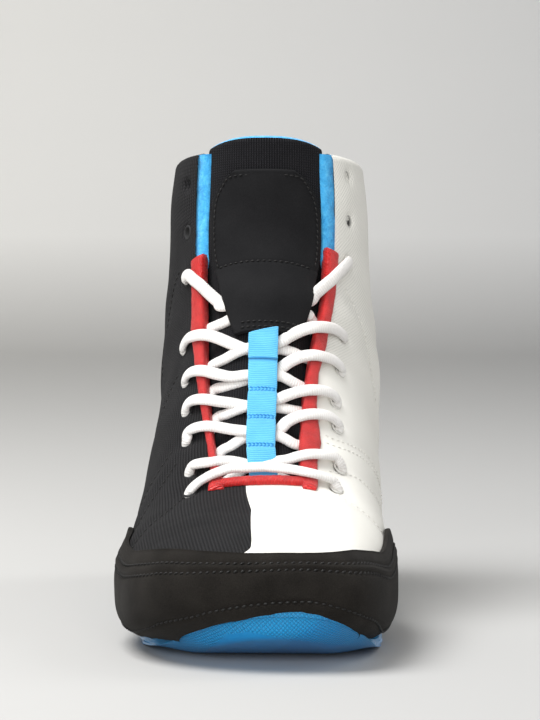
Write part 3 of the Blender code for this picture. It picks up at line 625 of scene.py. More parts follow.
KNIT_STOPS = (0.15, 0.0022, 0.0022, 0.0025), (0.62, 0.0125, 0.0122, 0.013), (1.0, 0.032, 0.031, 0.033)
SUEDE_STOPS = (0.3, 0.0065, 0.0056, 0.0048), (0.55, 0.0165, 0.0145, 0.0125), (0.8, 0.031, 0.028, 0.025)
LACE_STOPS = (0.1, 0.74, 0.70, 0.66), (0.5, 0.87, 0.85, 0.825), (1.0, 0.93, 0.92, 0.90)
WEBBING_STOPS = (0.1, 0.040, 0.32, 0.66), (0.5, 0.095, 0.50, 0.85), (1.0, 0.17, 0.62, 0.93)
PLUSH_STOPS = (0.3, 0.018, 0.20, 0.50), (0.55, 0.055, 0.40, 0.77), (0.8, 0.13, 0.56, 0.90)
TONGUE_STOPS = (0.15, 0.0020, 0.0020, 0.0024), (0.6, 0.0100, 0.0100, 0.0115), (1.0, 0.027, 0.026, 0.029)
TAB_STOPS = (0.3, 0.0045, 0.0045, 0.0052), (0.55, 0.0095, 0.0094, 0.0102), (0.8, 0.0170, 0.0168, 0.0180)
THREAD = (3000.0, 300.0, 0.0, 1.0)
DARK_STOPS = (0.3, 0.0050, 0.0047, 0.0045), (0.7, 0.0150, 0.0142, 0.0135)
LIGHT_STOPS = (0.3, 0.66, 0.65, 0.60), (0.7, 0.84, 0.83, 0.78)
BLUE_STOPS = (0.3, 0.012, 0.20, 0.50), (0.7, 0.06, 0.42, 0.80)

BLACK_KNIT = finish(
    "knit_black", knitted(0.00122, 0.00100, 60.0, 0.62, *KNIT_STOPS), 0.86, 0.00032,
    Sheen_Weight=0.02, Specular_IOR_Level=0.12,
)
WHITE_SYNTHETIC = finish("synthetic_white", synthetic_white, 0.62, 0.00016, Specular_IOR_Level=0.35)
SUEDE = finish(
    "suede_black", napped(2600.0, 75.0, 0.55, 0.45, *SUEDE_STOPS), 0.95, 0.00014,
    Sheen_Weight=0.03, Sheen_Roughness=0.5, Specular_IOR_Level=0.08,
)
RED_SATIN = finish("satin_red", satin_red, 0.36, 0.00030, Specular_IOR_Level=0.55, Sheen_Weight=0.1)
LACE_COTTON = finish(
    "lace_white", ribbed(0.00095, 0.25, 0.00060, (1600.0, 90.0), (0.6, 0.5), (0.3, 0.6), *LACE_STOPS), 0.85, 0.00018,
    Sheen_Weight=0.1, Specular_IOR_Level=0.2,
)
BLUE_WEBBING = finish(
    "webbing_blue", ribbed(0.00085, 0.35, 0.00042, (1200.0, 120.0), (0.7, 0.35), (0.4, 0.5), *WEBBING_STOPS),
    0.6, 0.00022, Sheen_Weight=0.15,
)
BLUE_PLUSH = finish(
    "plush_blue", napped(1400.0, 420.0, 0.5, 0.6, *PLUSH_STOPS, deep=True), 0.95, 0.00060,
    Sheen_Weight=0.5, Specular_IOR_Level=0.15,
)
TONGUE_KNIT = finish(
    "knit_tongue", knitted(0.00105, 0.00085, 90.0, 0.6, *TONGUE_STOPS), 0.9, 0.00028,
    Sheen_Weight=0.02, Specular_IOR_Level=0.1,
)
BLUE_RUBBER = finish(
    "rubber_blue", rubber_blue, 0.28, 0.00030,
    Specular_IOR_Level=0.5, Coat_Weight=0.25, Coat_Roughness=0.2,
)
TAB_SUEDE = finish(
    "suede_tab", napped(2400.0, 55.0, 0.5, 0.5, *TAB_STOPS), 0.8, 0.00008,
    Sheen_Weight=0.02, Specular_IOR_Level=0.12,
)
DARK_THREAD = finish("thread_dark", napped(*THREAD, *DARK_STOPS), 0.55, 0.00005, Specular_IOR_Level=0.3)
LIGHT_THREAD = finish("thread_light", napped(*THREAD, *LIGHT_STOPS), 0.65, 0.00005)
BLUE_THREAD = finish("thread_blue", napped(*THREAD, *BLUE_STOPS), 0.6, 0.00005)


# Upper: black knit and white synthetic, which meet along a line from the toe to the throat, read by section number
SPLIT = (
    (0, -0.022), (1.6, -0.0205), (1.85, -0.0170), (2.05, -0.0136), (2.20, -0.0114), (2.35, -0.0102),
    (2.8, -0.0090), (3.4, -0.0079), (4.4, -0.0058), (5.4, -0.0064), (6.2, -0.0062),
)
Seam = namedtuple("Seam", "side points")
# Quilting seams: section number and distance from the crest in millimetres
LATERAL_SEAMS = (
    Seam(-1, ((7.15, 31), (6.85, 36), (6.65, 40), (6.40, 46), (6.15, 53), (5.9, 62), (5.7, 74))),
    Seam(-1, ((5.90, 28.5), (5.50, 32), (5.15, 37), (4.95, 43), (4.80, 48), (4.62, 57), (4.5, 68))),
    Seam(-1, ((7.60, 34), (7.40, 40), (7.20, 48), (7.05, 58), (6.9, 72))),
    Seam(-1, ((9.70, 40), (9.55, 48), (9.35, 58), (9.1, 72), (8.9, 88))),
    Seam(-1, ((12.9, 44), (12.5, 54), (11.9, 66), (11.3, 82))),
)
MEDIAL_SEAMS = (
    Seam(1, ((7.70, 26), (7.75, 31), (7.9, 38), (8.05, 44), (8.2, 50), (8.4, 60), (8.6, 72), (8.75, 86))),
    Seam(1, ((6.70, 26), (6.85, 31), (7.1, 38.6), (7.25, 46), (7.4, 53.6), (7.7, 64), (8.0, 76))),
    Seam(1, ((5.95, 27), (5.85, 31), (5.8, 36), (5.82, 41), (5.86, 46), (5.95, 52), (6.1, 60))),
    Seam(1, ((12.1, 38), (11.7, 48), (11.4, 58), (11.1, 70), (10.7, 84))),
)
# Eyelets of each side from the foot of the throat up: section number and distance from the crest in millimetres
EYELETS = {
    -1: ((5.84, -26.8), (6.60, -25.7), (7.56, -26.8), (8.37, -28.5), (9.16, -31.0), (10.21, -37.3),
         (12.34, -38.3), (14.00, -37.5), (15.75, -37.0)),
    1: ((6.19, 28.2), (7.05, 32.7), (8.12, 33.3), (8.71, 33.0), (9.62, 36.9), (10.60, 38.9),
        (13.02, 40.5), (14.55, 41.0), (16.15, 40.6)),
}
# How much of the lining shows beside the tongue
PLUSH_SHOWS = 0.0044


def split_at(place):
    return row_at(SPLIT, place)


def seam_line(seam, count=90):
    """A seam as places, distances from the crest, points and directions out."""
    chart = smooth_line([(place * 0.01, far / 1000) for place, far in seam.points], count)
    place, aside = chart[:, 0] * 100, chart[:, 1] * seam.side
    return place, aside, LAST.at(place, aside), LAST.normal(place, aside)


SEAM_POINTS = {
    side: np.concatenate([seam_line(seam)[2] for seam in seams])
    for side, seams in ((-1, LATERAL_SEAMS), (1, MEDIAL_SEAMS))
}


def nearest(points, others):
    """How far each point is from the nearest of some others."""
    far = np.full(len(points), 1.0)
    for start in range(0, len(points), 4000):
        part = points[start:start + 4000]
        square = ((part[:, None, :] - others[None, :, :]) ** 2).sum(2).min(1)
        far[start:start + 4000] = np.sqrt(square)
    return far


def relief(place, aside):
    """How far the cloth stands off the last: quilting, flex creases, padding and dimples round the eyelets."""
    points = LAST.at(place, aside)
    height = np.zeros(len(points))
    for side in (-1, 1):
        here = (aside * side) > 0.012
        far = nearest(points[here], SEAM_POINTS[side])
        puff = 0.0007 * (1 - np.exp(-((far / 0.0045) ** 2))) - 0.0004
        height[here] += puff * eased(np.abs(aside[here]), 0.022, 0.032)
        holes = np.array([LAST.at(place, aside / 1000) for place, aside in EYELETS[side]])
        far = nearest(points[here], holes)
        height[here] -= 0.0019 * np.exp(-((far / 0.0024) ** 3)) + 0.0006 * np.exp(-((far / 0.0050) ** 2))
    # Bulges across the ankle where it flexes
    for middle, side, deep, wide in ((11.35, 1, 0.0016, 0.42), (10.4, 1, 0.0008, 0.35), (12.4, 1, 0.0007, 0.4),
                                     (11.2, -1, 0.0010, 0.45), (12.6, -1, 0.0006, 0.5)):
        away = np.clip(aside * side, 0, None)
        line = middle + 0.35 * eased(away, 0.03, 0.08)
        band = np.exp(-(((place - line) / wide) ** 2))
        height += deep * band * eased(away, 0.024, 0.040) * (1 - 0.6 * eased(away, 0.085, 0.12))
    # Toe flex creases over the ball
    for middle, deep in ((4.25, 0.00014), (3.55, 0.00010)):
        line = middle + 0.10 * np.sin(aside * 210) + 0.25 * np.abs(aside) / 0.05
        height -= deep * np.exp(-(((place - line) / 0.10) ** 2)) * (1 - eased(np.abs(aside), 0.035, 0.05))
    # Padded collar
    height += 0.0013 * np.exp(-(((place - 15.6) / 1.0) ** 2)) * eased(np.abs(aside), 0.026, 0.04)
    soft = unevenness(points[::7], 42)
    height += np.interp(np.arange(len(points)), np.arange(0, len(points), 7), soft) * 0.0003
    return height


WALL_COLUMNS, FRONT_COLUMNS, SKIN_ROWS = 104, (14, 30), 212
# The skin's first place, where the collar's roll starts and with what share of the rows, and its radius
SKIN_START, ROLL_START, ROLL_SHARE, ROLL_RADIUS = 0.02, 16.62, 0.955, 0.0030


def skin_columns(across):
    """Which stretch of the ring a column lies in: lateral side, lateral vamp, medial vamp, medial side."""
    counts = (WALL_COLUMNS, *FRONT_COLUMNS, WALL_COLUMNS)
    total = sum(counts)
    number = np.round(across * total)
    bounds = np.concatenate([[0], np.cumsum(counts)])
    stretch = np.clip(np.searchsorted(bounds, number, side="right") - 1, 0, 3)
    share = (number - bounds[stretch]) / np.array(counts)[stretch]
    return stretch, share


def lay_skin(across, up):
    """The outer cloth, from under the lateral side over the vamp to under the medial side, with a rolled collar."""
    stretch, share = skin_columns(across)
    roll = np.clip((up - ROLL_SHARE) / (1 - ROLL_SHARE), 0, 1)
    place = np.where(roll > 0, ROLL_START, SKIN_START + (ROLL_START - SKIN_START) * up / ROLL_SHARE)
    low = LAST.throat_at(place, -1), LAST.throat_at(place, 1)
    open_more = PLUSH_SHOWS * eased(place, ANKLE_ROW - 0.2, ANKLE_ROW + 0.5)
    before = place < THROAT_FOOT
    left = -(np.where(before, np.maximum(low[0], 0.004 - split_at(place)), low[0]) + open_more)
    right = low[1] + open_more
    lip = 0.80 + 0.20 * eased(place, 9.2, 10.4)
    foot_left, foot_right = (side * LAST.side_length(place, np.full(len(place), side)) * lip for side in (-1, 1))
    split = np.clip(split_at(place), left * 0.9, 0)
    ends = np.stack([foot_left, left, split, right, foot_right])
    start = np.take_along_axis(ends, stretch[None], 0)[0]
    end = np.take_along_axis(ends, stretch[None] + 1, 0)[0]
    aside = start + (end - start) * share
    out = relief(place, aside)
    turn = roll * math.pi
    low_down = 1 - eased(LAST.at(place, aside)[:, 2], 0.021, 0.027)
    out = out - ROLL_RADIUS * (1 - np.cos(turn)) - 0.0026 * low_down * (1 - eased(place, 4.6, 6.0))
    points = LAST.at(place, aside, out)
    points += LAST.ahead(place, aside) * (ROLL_RADIUS * np.sin(turn))[:, None]
    return points, LAST.weave(place, aside)


def make_skin():
    columns = 2 * WALL_COLUMNS + sum(FRONT_COLUMNS)
    skin = grid("upper_cloth_skin", columns, SKIN_ROWS, lay_skin)
    mesh = skin.data
    left, right = WALL_COLUMNS, WALL_COLUMNS + sum(FRONT_COLUMNS)
    split = WALL_COLUMNS + FRONT_COLUMNS[0]
    foot_row = math.ceil(ROLL_SHARE * SKIN_ROWS * (THROAT_FOOT - SKIN_START) / (ROLL_START - SKIN_START))

    def work(bm):
        gone = []
        for face in bm.faces:
            numbers = [vert.index for vert in face.verts]
            row, column = min(numbers) // (columns + 1), min(n % (columns + 1) for n in numbers)
            face.material_index = 0 if column < split else 1
            if left <= column < right and row >= foot_row:
                gone.append(face)
        bmesh.ops.delete(bm, geom=gone, context="FACES")
        merge_doubles(bm, SKIN_DOUBLES)

    work_mesh(mesh, work)
    dress(skin, (BLACK_KNIT, WHITE_SYNTHETIC), ("upper",))


make_skin()


# Lining: blue plush inside, padded at the collar, that shows along the open front of the shaft
def lay_lining(across, up):
    """From the lateral front edge round the back to the medial front edge."""
    place = 9.0 + (ROLL_START + 0.25 - 9.0) * up
    lateral = across < 0.5
    run = np.where(lateral, across * 2, (1 - across) * 2)
    side = np.where(lateral, -1.0, 1.0)
    throat = LAST.throat_at(place, -1) * lateral + LAST.throat_at(place, 1) * ~lateral
    foot = LAST.side_length(place, side)
    bared = eased(place, ANKLE_ROW - 0.2, ANKLE_ROW + 0.5)
    shown = PLUSH_SHOWS * bared + 0.0012
    throat = throat + 0.0045 * (1 - eased(place, ANKLE_ROW - 0.5, ANKLE_ROW + 0.1))
    edge = np.clip(run / 0.10, 0, 1) * math.pi
    beyond = np.clip((run - 0.10) / 0.90, 0, 1)
    thick = 0.0040 + 0.0012 * np.exp(-(((place - 15.8) / 1.2) ** 2))
    half = thick / 2
    aside = throat + shown - (shown + 0.0006) * np.sin(edge) ** 0.8 * (run <= 0.10)
    aside = np.where(run > 0.10, throat + shown + (foot - throat - shown) * beyond, aside)
    depth = 0.0007 + half * (1 - np.cos(edge))
    depth = np.where(run > 0.10, 0.0007 + thick, depth)
    points = LAST.at(place, side * aside, -depth)
    wobble = unevenness(points, 260)
    points += LAST.normal(place, side * aside) * (wobble * 0.0004)[:, None]
    return points, LAST.weave(place, side * aside)


def make_lining():
    lining = grid("collar_lining", 150, 110, lay_lining)
    work_mesh(lining.data, lambda bm: bmesh.ops.reverse_faces(bm, faces=bm.faces))
    dress(lining, BLUE_PLUSH)


make_lining()


# Toe cap: thick suede with a turned edge, laid by rays on the last from the sole's outline.
# TREAD is that outline as shares: along the sole, lateral and medial reach. CAP_EDGE is the cap's top: along, height.
TREAD = (
    (-0.500, -0.130, 0.215), (-0.492, -0.010, 0.325), (-0.470, 0.125, 0.410), (-0.430, 0.265, 0.482),
    (-0.370, 0.380, 0.520), (-0.290, 0.455, 0.530), (-0.200, 0.482, 0.502), (-0.100, 0.472, 0.438),
    (0.000, 0.450, 0.372), (0.120, 0.408, 0.336), (0.230, 0.378, 0.336), (0.320, 0.364, 0.348),
    (0.400, 0.340, 0.334), (0.455, 0.268, 0.264), (0.485, 0.165, 0.163), (0.500, 0.050, 0.050),
)
CAP_EDGE = (
    (-0.60, 0.664), (-0.43, 0.660), (-0.39, 0.635), (-0.34, 0.605), (-0.28, 0.620), (-0.22, 0.655),
    (-0.17, 0.660), (-0.10, 0.540), (-0.02, 0.280),
)
CAP_THICKNESS = 0.0019
# Sections of the last, from the toe, that the cap's rays can hit
CAP_SECTIONS = 13
CAP_COLUMNS, CAP_ROWS = 190, 42
# Rows of the cap's grid, and those of them that turn in at each edge
CAP_STEPS, CAP_TURN = 60, 8


def sole_underside(y):
    """Height of the tread: flat under forefoot and heel, raised at the arch, sprung at the toe."""
    along = y / SOLE_LENGTH
    toe = min(max((-0.325 - along) / 0.175, 0.0), 1.0)
    heel = min(max((along - 0.40) / 0.10, 0.0), 1.0)
    arch = min(max((along + 0.13) / 0.12, 0.0), 1.0) * min(max((0.22 - along) / 0.12, 0.0), 1.0)
    return TOE_SPRING * toe**1.7 + HEEL_SPRING * heel**2 + ARCH_LIFT * (3 - 2 * arch) * arch**2


def sole_rim(y, x):
    """Height of the sole's edge, which rolls up round the front of the toe."""
    front = eased(-y / SOLE_LENGTH, 0.36, 0.49) * (1 - 0.5 * eased(abs(x - 0.008), 0.012, 0.034))
    return sole_underside(y) + SOLE_THICKNESS + 0.0034 * float(front)


def cap_foot(y, x):
    """Height of the cap's lower edge, just over the sole's."""
    return sole_rim(y, x) + 0.0002


def outline(grow, count, back=-0.02):
    """The sole's outline round the toe, from the lateral back end to the medial one, evenly spaced, with ways out."""
    rows = np.linspace(-0.4999, back, 220)
    lateral = [(-table_at(TREAD, 1, along) * SOLE_WIDTH, along * SOLE_LENGTH) for along in rows]
    medial = [(table_at(TREAD, 2, along) * SOLE_WIDTH, along * SOLE_LENGTH) for along in rows]
    line = smooth_line(np.array(lateral[::-20] + medial[::20]), count)
    ahead = np.gradient(line, axis=0)
    out = np.stack([ahead[:, 1], -ahead[:, 0]], 1)
    out /= np.linalg.norm(out, axis=1, keepdims=True)
    return line + out * grow, out


def last_tree():
    """The last's surface as something rays can hit."""
    columns = LAST.points.shape[1]
    verts = [Vector(p) for p in LAST.points.reshape(-1, 3)]
    faces = [
        (r * columns + c, r * columns + c + 1, (r + 1) * columns + c + 1, (r + 1) * columns + c)
        for r in range(LAST.FINE * CAP_SECTIONS) for c in range(columns - 1)
    ]
    faces.append(tuple(range(columns - 1, -1, -1)))
    return BVHTree.FromPolygons(verts, faces)


TREE = last_tree()


def cap_chart():
    """For each column of the cap, its line from the sole up to the edge: points and ways out."""
    line, outs = outline(0.0, CAP_COLUMNS + 1)
    points = np.zeros((CAP_ROWS + 1, CAP_COLUMNS + 1, 3))
    normals = np.zeros_like(points)
    for column, ((x, y), (ox, oy)) in enumerate(zip(line, outs)):
        start = Vector((x + STEP[0] + ox * 0.05, y + STEP[1] + oy * 0.05, 0))
        way = Vector((-ox, -oy, 0))
        low = cap_foot(y, x)
        top = table_at(CAP_EDGE, 1, y / UPPER_LENGTH) * VAMP_HEIGHT
        for _ in range(6):
            hit = TREE.ray_cast(start + Vector((0, 0, top)), way)[0]
            if hit is None:
                break
            top = table_at(CAP_EDGE, 1, (hit.y - STEP[1]) / UPPER_LENGTH) * VAMP_HEIGHT
        hits = []
        for height in np.linspace(low, top, CAP_ROWS + 1):
            hit, normal = TREE.ray_cast(start + Vector((0, 0, height)), way)[:2]
            if hit and normal.dot(Vector((ox, oy, 0.2))) < 0:
                normal = -normal
            hits.append((hit, normal, height))
        found = [pair for pair in hits if pair[0]]
        for row, (hit, normal, height) in enumerate(hits):
            if not hit:
                near = min(found, key=lambda pair: abs(pair[2] - height))
                hit, normal = Vector((near[0].x, near[0].y, height)), near[1]
            points[row, column] = hit
            normals[row, column] = normal
    for _ in range(3):
        normals[1:-1, 1:-1] = (
            normals[1:-1, 1:-1] * 2 + normals[:-2, 1:-1] + normals[2:, 1:-1] + normals[1:-1, :-2] + normals[1:-1, 2:]
        )
        normals /= np.linalg.norm(normals, axis=2, keepdims=True)
    return points, normals


CAP_POINTS, CAP_NORMALS = cap_chart()
CAP_RUN = run_along(CAP_POINTS[10])


def cap_at(column, row, out):
    """Points of the cap at column and row numbers that may lie between."""
    column, row = np.broadcast_arrays(np.asarray(column, float), np.asarray(row, float))
    i0 = np.clip(row.astype(int), 0, CAP_ROWS - 1)
    j0 = np.clip(column.astype(int), 0, CAP_COLUMNS - 1)
    u, v = (row - i0)[..., None], (column - j0)[..., None]

    normals = between(CAP_NORMALS, i0, j0, u, v)
    return between(CAP_POINTS, i0, j0, u, v) + normals * np.asarray(out)[..., None], normals


# Rows of the cap that its seams follow, and a stitch's length, pitch and radius
HEM_ROW, FIRST_ROW, SECOND_ROW = 7.0, 36.0, 31.0
CAP_STITCH = (0.0019, 0.0025, 0.00042)


def lay_cap(across, up):
    """Edge turned in at the top, over the cap, and turned under at the sole."""
    step = up * CAP_STEPS
    row = np.clip((step - CAP_TURN) / (CAP_STEPS - 2 * CAP_TURN), 0, 1) * CAP_ROWS
    column = across * CAP_COLUMNS
    low = np.clip((CAP_TURN - step) / CAP_TURN, 0, 1) * math.pi / 2
    high = np.clip((step - CAP_STEPS + CAP_TURN) / CAP_TURN, 0, 1) * math.pi / 2
    turn = np.maximum(low, high)
    out = 0.0003 + CAP_THICKNESS * np.cos(turn) ** 0.7
    ends = np.clip(np.minimum(across, 1 - across) / 0.012, 0, 1)
    out = 0.0003 + (out - 0.0003) * np.sqrt(ends)
    rows = row / CAP_ROWS
    for seam in (FIRST_ROW, SECOND_ROW, HEM_ROW):
        out -= 0.00042 * np.exp(-(((row - seam) / 1.1) ** 2))
    out += 0.0004 * np.exp(-(((row - 33.5) / 1.7) ** 2))
    out += 0.0005 * (row < HEM_ROW) * (1 - rows * CAP_ROWS / HEM_ROW)
    points, normals = cap_at(column, row, out)
    points[:, 2] += 0.0009 * np.sin(high) - 0.0008 * np.sin(low)
    soft = unevenness(points, 55)
    points += normals * (soft * 0.00035)[:, None]
    run = np.interp(column, np.arange(CAP_COLUMNS + 1), CAP_RUN)
    return points, np.stack([run, points[:, 2]], 1)


def make_toe_cap():
    dress(grid("toe_cap_suede", 230, CAP_STEPS, lay_cap), SUEDE, ("toe_cap",))
    columns = np.linspace(3, CAP_COLUMNS - 3, 400)
    for name, row, slant in (("upper", FIRST_ROW, 0.5), ("lower", SECOND_ROW, 0.5), ("hem", HEM_ROW, 0.2)):
        points, normals = cap_at(columns, np.full(len(columns), row), CAP_THICKNESS + 0.0001)
        stitches = thread_stitches(f"cap_stitches_{name}", points, normals, *CAP_STITCH, slant)
        dress(stitches, DARK_THREAD)


make_toe_cap()


# Outsole: tread with lugs that step at the toe, a rim round the foot, and a diamond grid between smooth facets
def sole_half(y, side):
    return table_at(TREAD, 2 if side > 0 else 1, min(max(y / SOLE_LENGTH, -0.5), 0.5)) * SOLE_WIDTH


def lay_sole(across, up):
    """Rings round the sole: from the middle of the tread out to its edge, up the side and in over the top."""
    count = 400
    ring = np.array([sole_ring(t) for t in np.linspace(0, 1, count, endpoint=False)])
    ring = np.concatenate([ring, ring[:1]])
    marks = np.linspace(0, 1, count + 1)
    line = np.stack([np.interp(across, marks, ring[:, axis]) for axis in range(2)], 1)
    ahead = np.gradient(ring, axis=0)
    ahead[0] = ahead[-1] = ring[1] - ring[-2]
    out = np.stack([ahead[:, 1], -ahead[:, 0]], 1)
    out /= np.linalg.norm(out, axis=1, keepdims=True)
    out = np.stack([np.interp(across, marks, out[:, axis]) for axis in range(2)], 1)
    spine = np.stack([np.full(len(line), 0.004), np.clip(line[:, 1], -SOLE_LENGTH * 0.42, SOLE_LENGTH * 0.42)], 1)
    inner = np.clip(up / 0.66, 0, 1) ** 0.75
    plan = spine + (line - spine) * inner[:, None]
    side = np.clip((up - 0.66) / 0.22, 0, 1)
    top = np.clip((up - 0.88) / 0.12, 0, 1)
    bowl = eased(-plan[:, 1] / SOLE_LENGTH, 0.24, 0.36)
    low = np.array([sole_underside(y) for y in plan[:, 1]])
    rim = np.array([sole_rim(y, x) for x, y in plan]) - low
    rim += (HEEL_THICKNESS - SOLE_THICKNESS) * eased(plan[:, 1] / SOLE_LENGTH, -0.1, 0.1)
    curl = 0.62 * bowl * eased(inner, 0.50, 1.0) ** 1.6
    bulge = 0.0009 * np.sin(side * math.pi) * (1 - bowl)
    plan += out * (bulge - 0.0007 * (side == 0) * (inner > 0.99) - 0.009 * top)[:, None]
    plan += out * (0.00045 * np.cos(side * math.tau * 2.5) * (side > 0) * (side < 1) * (1 - bowl))[:, None]
    plan += out * (side * np.interp(nearest_column(line), np.arange(CAP_COLUMNS + 1), CAP_REACH))[:, None]
    height = low + rim * (curl + (1 - curl) * side)
    tread = (side == 0) * (inner < 0.985)
    height -= tread * lug_depth(plan) * (1 - bowl)
    height += (0.0028 * top + 0.0010 * side) * eased(-plan[:, 1] / SOLE_LENGTH, 0.0, 0.1) + top * 0.0012
    points = np.stack([plan[:, 0] + STEP[0], plan[:, 1] + STEP[1], height], 1)
    return points, plan + np.stack([np.zeros_like(side), side * 0.006], 1)


CAP_LINE, CAP_OUTS = outline(0.0, CAP_COLUMNS + 1)
# How far outside the sole's outline the last is, at the cap's foot
CAP_REACH = ((CAP_POINTS[0, :, :2] - STEP[:2] - CAP_LINE) * CAP_OUTS).sum(1) + 0.0006
CAP_REACH = np.clip(CAP_REACH, -0.003, 0.0030) * eased(-CAP_LINE[:, 1] / SOLE_LENGTH, 0.30, 0.42)


def nearest_column(line):
    """The cap's column nearest to points of the sole's outline, and an end column behind the cap."""
    found = np.zeros(len(line))
    for start in range(0, len(line), 4000):
        part = line[start:start + 4000]
        found[start:start + 4000] = ((part[:, None] - CAP_LINE[None]) ** 2).sum(2).argmin(1)
    return found


def sole_ring(t):
    """The sole's outline, all the way round from the back of the heel by the lateral side."""
    half = math.cos(math.tau * t) * 0.5
    y = half * SOLE_LENGTH
    side = -1 if t < 0.5 else 1
    return side * sole_half(y, side), y


def lug_depth(plan):
    """How deep the tread is cut: lugs in slanting rows, with a smooth band between forefoot and heel."""
    x, y = plan[:, 0], plan[:, 1]
    rows = np.abs(((y + 0.35 * np.abs(x - 0.003)) / 0.016 + 0.25) % 1 - 0.5) * 2
    lines = np.abs(((x - 0.003) / 0.017 + 0.5) % 1 - 0.5) * 2
    cut = np.maximum(eased(rows, 0.80, 0.90), eased(lines, 0.88, 0.95))
    fore = eased(-y / SOLE_LENGTH, 0.12, 0.14) + eased(y / SOLE_LENGTH, 0.18, 0.20)
    return -0.0013 * cut * np.clip(fore, 0, 1)


def make_outsole():
    sole = merged(grid("outsole_rubber_tread", 560, 150, lay_sole))
    dress(sole, BLUE_RUBBER, ("outsole",))


make_outsole()


# Insole: the part's board with rounded edges and a cloth face
INSOLE_INSET, INSOLE_THICKNESS = 0.0095, 0.0030


def lay_insole(across, up):
    """From its middle out to the edge, over it and in underneath."""
    ring = np.array([sole_ring(t) for t in across])
    inner = np.clip(up / 0.5, 0, 1)
    under = np.clip((up - 0.62) / 0.38, 0, 1)
    edge = np.clip((up - 0.5) / 0.12, 0, 1)
    size = np.maximum(np.linalg.norm(ring, axis=1), 1e-6)
    shrunk = ring * (1 - (INSOLE_INSET + 0.0035) / size)[:, None]
    plan = shrunk * (inner * (1 - under))[:, None] + ring / size[:, None] * (0.0008 * np.sin(edge * math.pi))[:, None]
    down = Vector((0, 0, -1))
    tops = [INSOLE_TREE.ray_cast(Vector((x + STEP[0], y + STEP[1], 0.05)), down)[0] for x, y in plan * 0.97]
    top = np.array([hit.z if hit else 0.012 for hit in tops]) + 0.0002
    height = top - INSOLE_THICKNESS * np.where(under > 0, 1.0, (1 - np.cos(edge * math.pi)) / 2)
    return np.stack([plan[:, 0] + STEP[0], plan[:, 1] + STEP[1], height], 1), plan


board = bpy.data.objects["insole"]
INSOLE_TREE = BVHTree.FromPolygons(
    [board.matrix_world @ vert.co for vert in board.data.vertices],
    [tuple(face.vertices) for face in board.data.polygons],
)


def make_insole():
    insole = merged(grid("insole_foam_board", 160, 50, lay_insole))
    dress(insole, BLUE_PLUSH, ("insole",))


make_insole()


# Throat piping: a satin binding round the throat, wider at its corners and flared at its tops.
# PIPING_EDGE is section number and distance from the crest of its inner and outer edge.
PIPING_EDGE = {
    -1: ((5.62, 0.0142, 0.0205), (6.1, 0.0142, 0.0190), (6.6, 0.0140, 0.0178), (7.2, 0.0136, 0.0180),
         (8.1, 0.0166, 0.0206), (8.8, 0.0184, 0.0232), (9.6, 0.0212, 0.0268), (10.5, 0.0248, 0.0316),
         (11.4, 0.0260, 0.0325), (12.15, 0.0255, 0.0322), (12.75, 0.0248, 0.0330)),
    1: ((5.70, 0.0140, 0.0195), (6.2, 0.0150, 0.0208), (6.8, 0.0166, 0.0222), (7.4, 0.0174, 0.0246),
        (8.35, 0.0168, 0.0232), (9.1, 0.0182, 0.0240), (9.9, 0.0206, 0.0274), (10.7, 0.0240, 0.0292),
        (11.6, 0.0262, 0.0312), (12.3, 0.0272, 0.0318), (13.0, 0.0280, 0.0326)),
}
PIPING_HEIGHT = 0.0016


def lay_piping(side):
    rows = PIPING_EDGE[side]

    def lay(across, up):
        place = rows[0][0] + (rows[-1][0] - rows[0][0]) * up
        inner, outer = row_at(rows, place), row_at(rows, place, 2)
        throat = LAST.throat_at(place, side)
        inner = np.minimum(inner, throat - 0.0002) * 0.35 + (throat - 0.0002) * 0.65
        turn = across * math.tau
        wide = (outer - inner) / 2 * (1 - 0.12 * (np.clip((np.abs(up - 0.5) - 0.48) / 0.02, 0, 1)))
        middle = (outer + inner) / 2
        flat = rounded(np.cos(turn), 0.75)
        high = rounded(np.sin(turn), 0.8) * np.where(np.sin(turn) > 0, 1, 0.5)
        noisy = unevenness(np.stack([place * 6, flat * 3, np.full(len(place), side * 5)], 1), 1)
        aside = middle + wide * flat * (1 + 0.05 * noisy)
        ends = np.sqrt(np.clip(np.minimum(up, 1 - up) / 0.008, 0.02, 1))
        out = 0.0003 + PIPING_HEIGHT * high * ends * (1 + 0.12 * noisy) - 0.0022 * (flat < -0.6) * (high <= 0)
        points = LAST.at(place, side * aside, out)
        return points, LAST.weave(place, aside)

    return lay


def lay_piping_foot(across, up):
    """The piece across the foot of the throat."""
    turn = up * math.tau
    ends = np.clip(np.minimum(across, 1 - across) / 0.03, 0, 1)
    aside = -0.0196 + 0.0386 * across
    middle = 5.90 + 0.12 * (across - 0.5) + 0.28 * np.clip((across - 0.80) / 0.2, 0, 1) ** 2
    flat = rounded(np.cos(turn), 0.75)
    high = rounded(np.sin(turn), 0.8) * np.where(np.sin(turn) > 0, 1, 0.4)
    noisy = unevenness(np.stack([aside * 900, flat * 2, np.full(len(aside), 9)], 1), 1)
    place = middle + 0.155 * flat * (1 + 0.06 * noisy)
    out = 0.0004 + PIPING_HEIGHT * 1.05 * high * np.sqrt(np.clip(ends, 0.02, 1)) * (1 + 0.1 * noisy)
    return LAST.at(place, aside, out), np.stack([LAST.row(LAST.along, place), aside], 1)


def closed_ends(piece):
    """Merges the seam of a tube laid from a grid, closes its ends and turns it outward."""

    def close(bm):
        merge_doubles(bm)
        bmesh.ops.holes_fill(bm, edges=[edge for edge in bm.edges if edge.is_boundary], sides=0)
        bmesh.ops.recalc_face_normals(bm, faces=bm.faces)
        if bm.calc_volume(signed=True) < 0:
            bmesh.ops.reverse_faces(bm, faces=bm.faces)

    work_mesh(piece.data, close)
    return piece


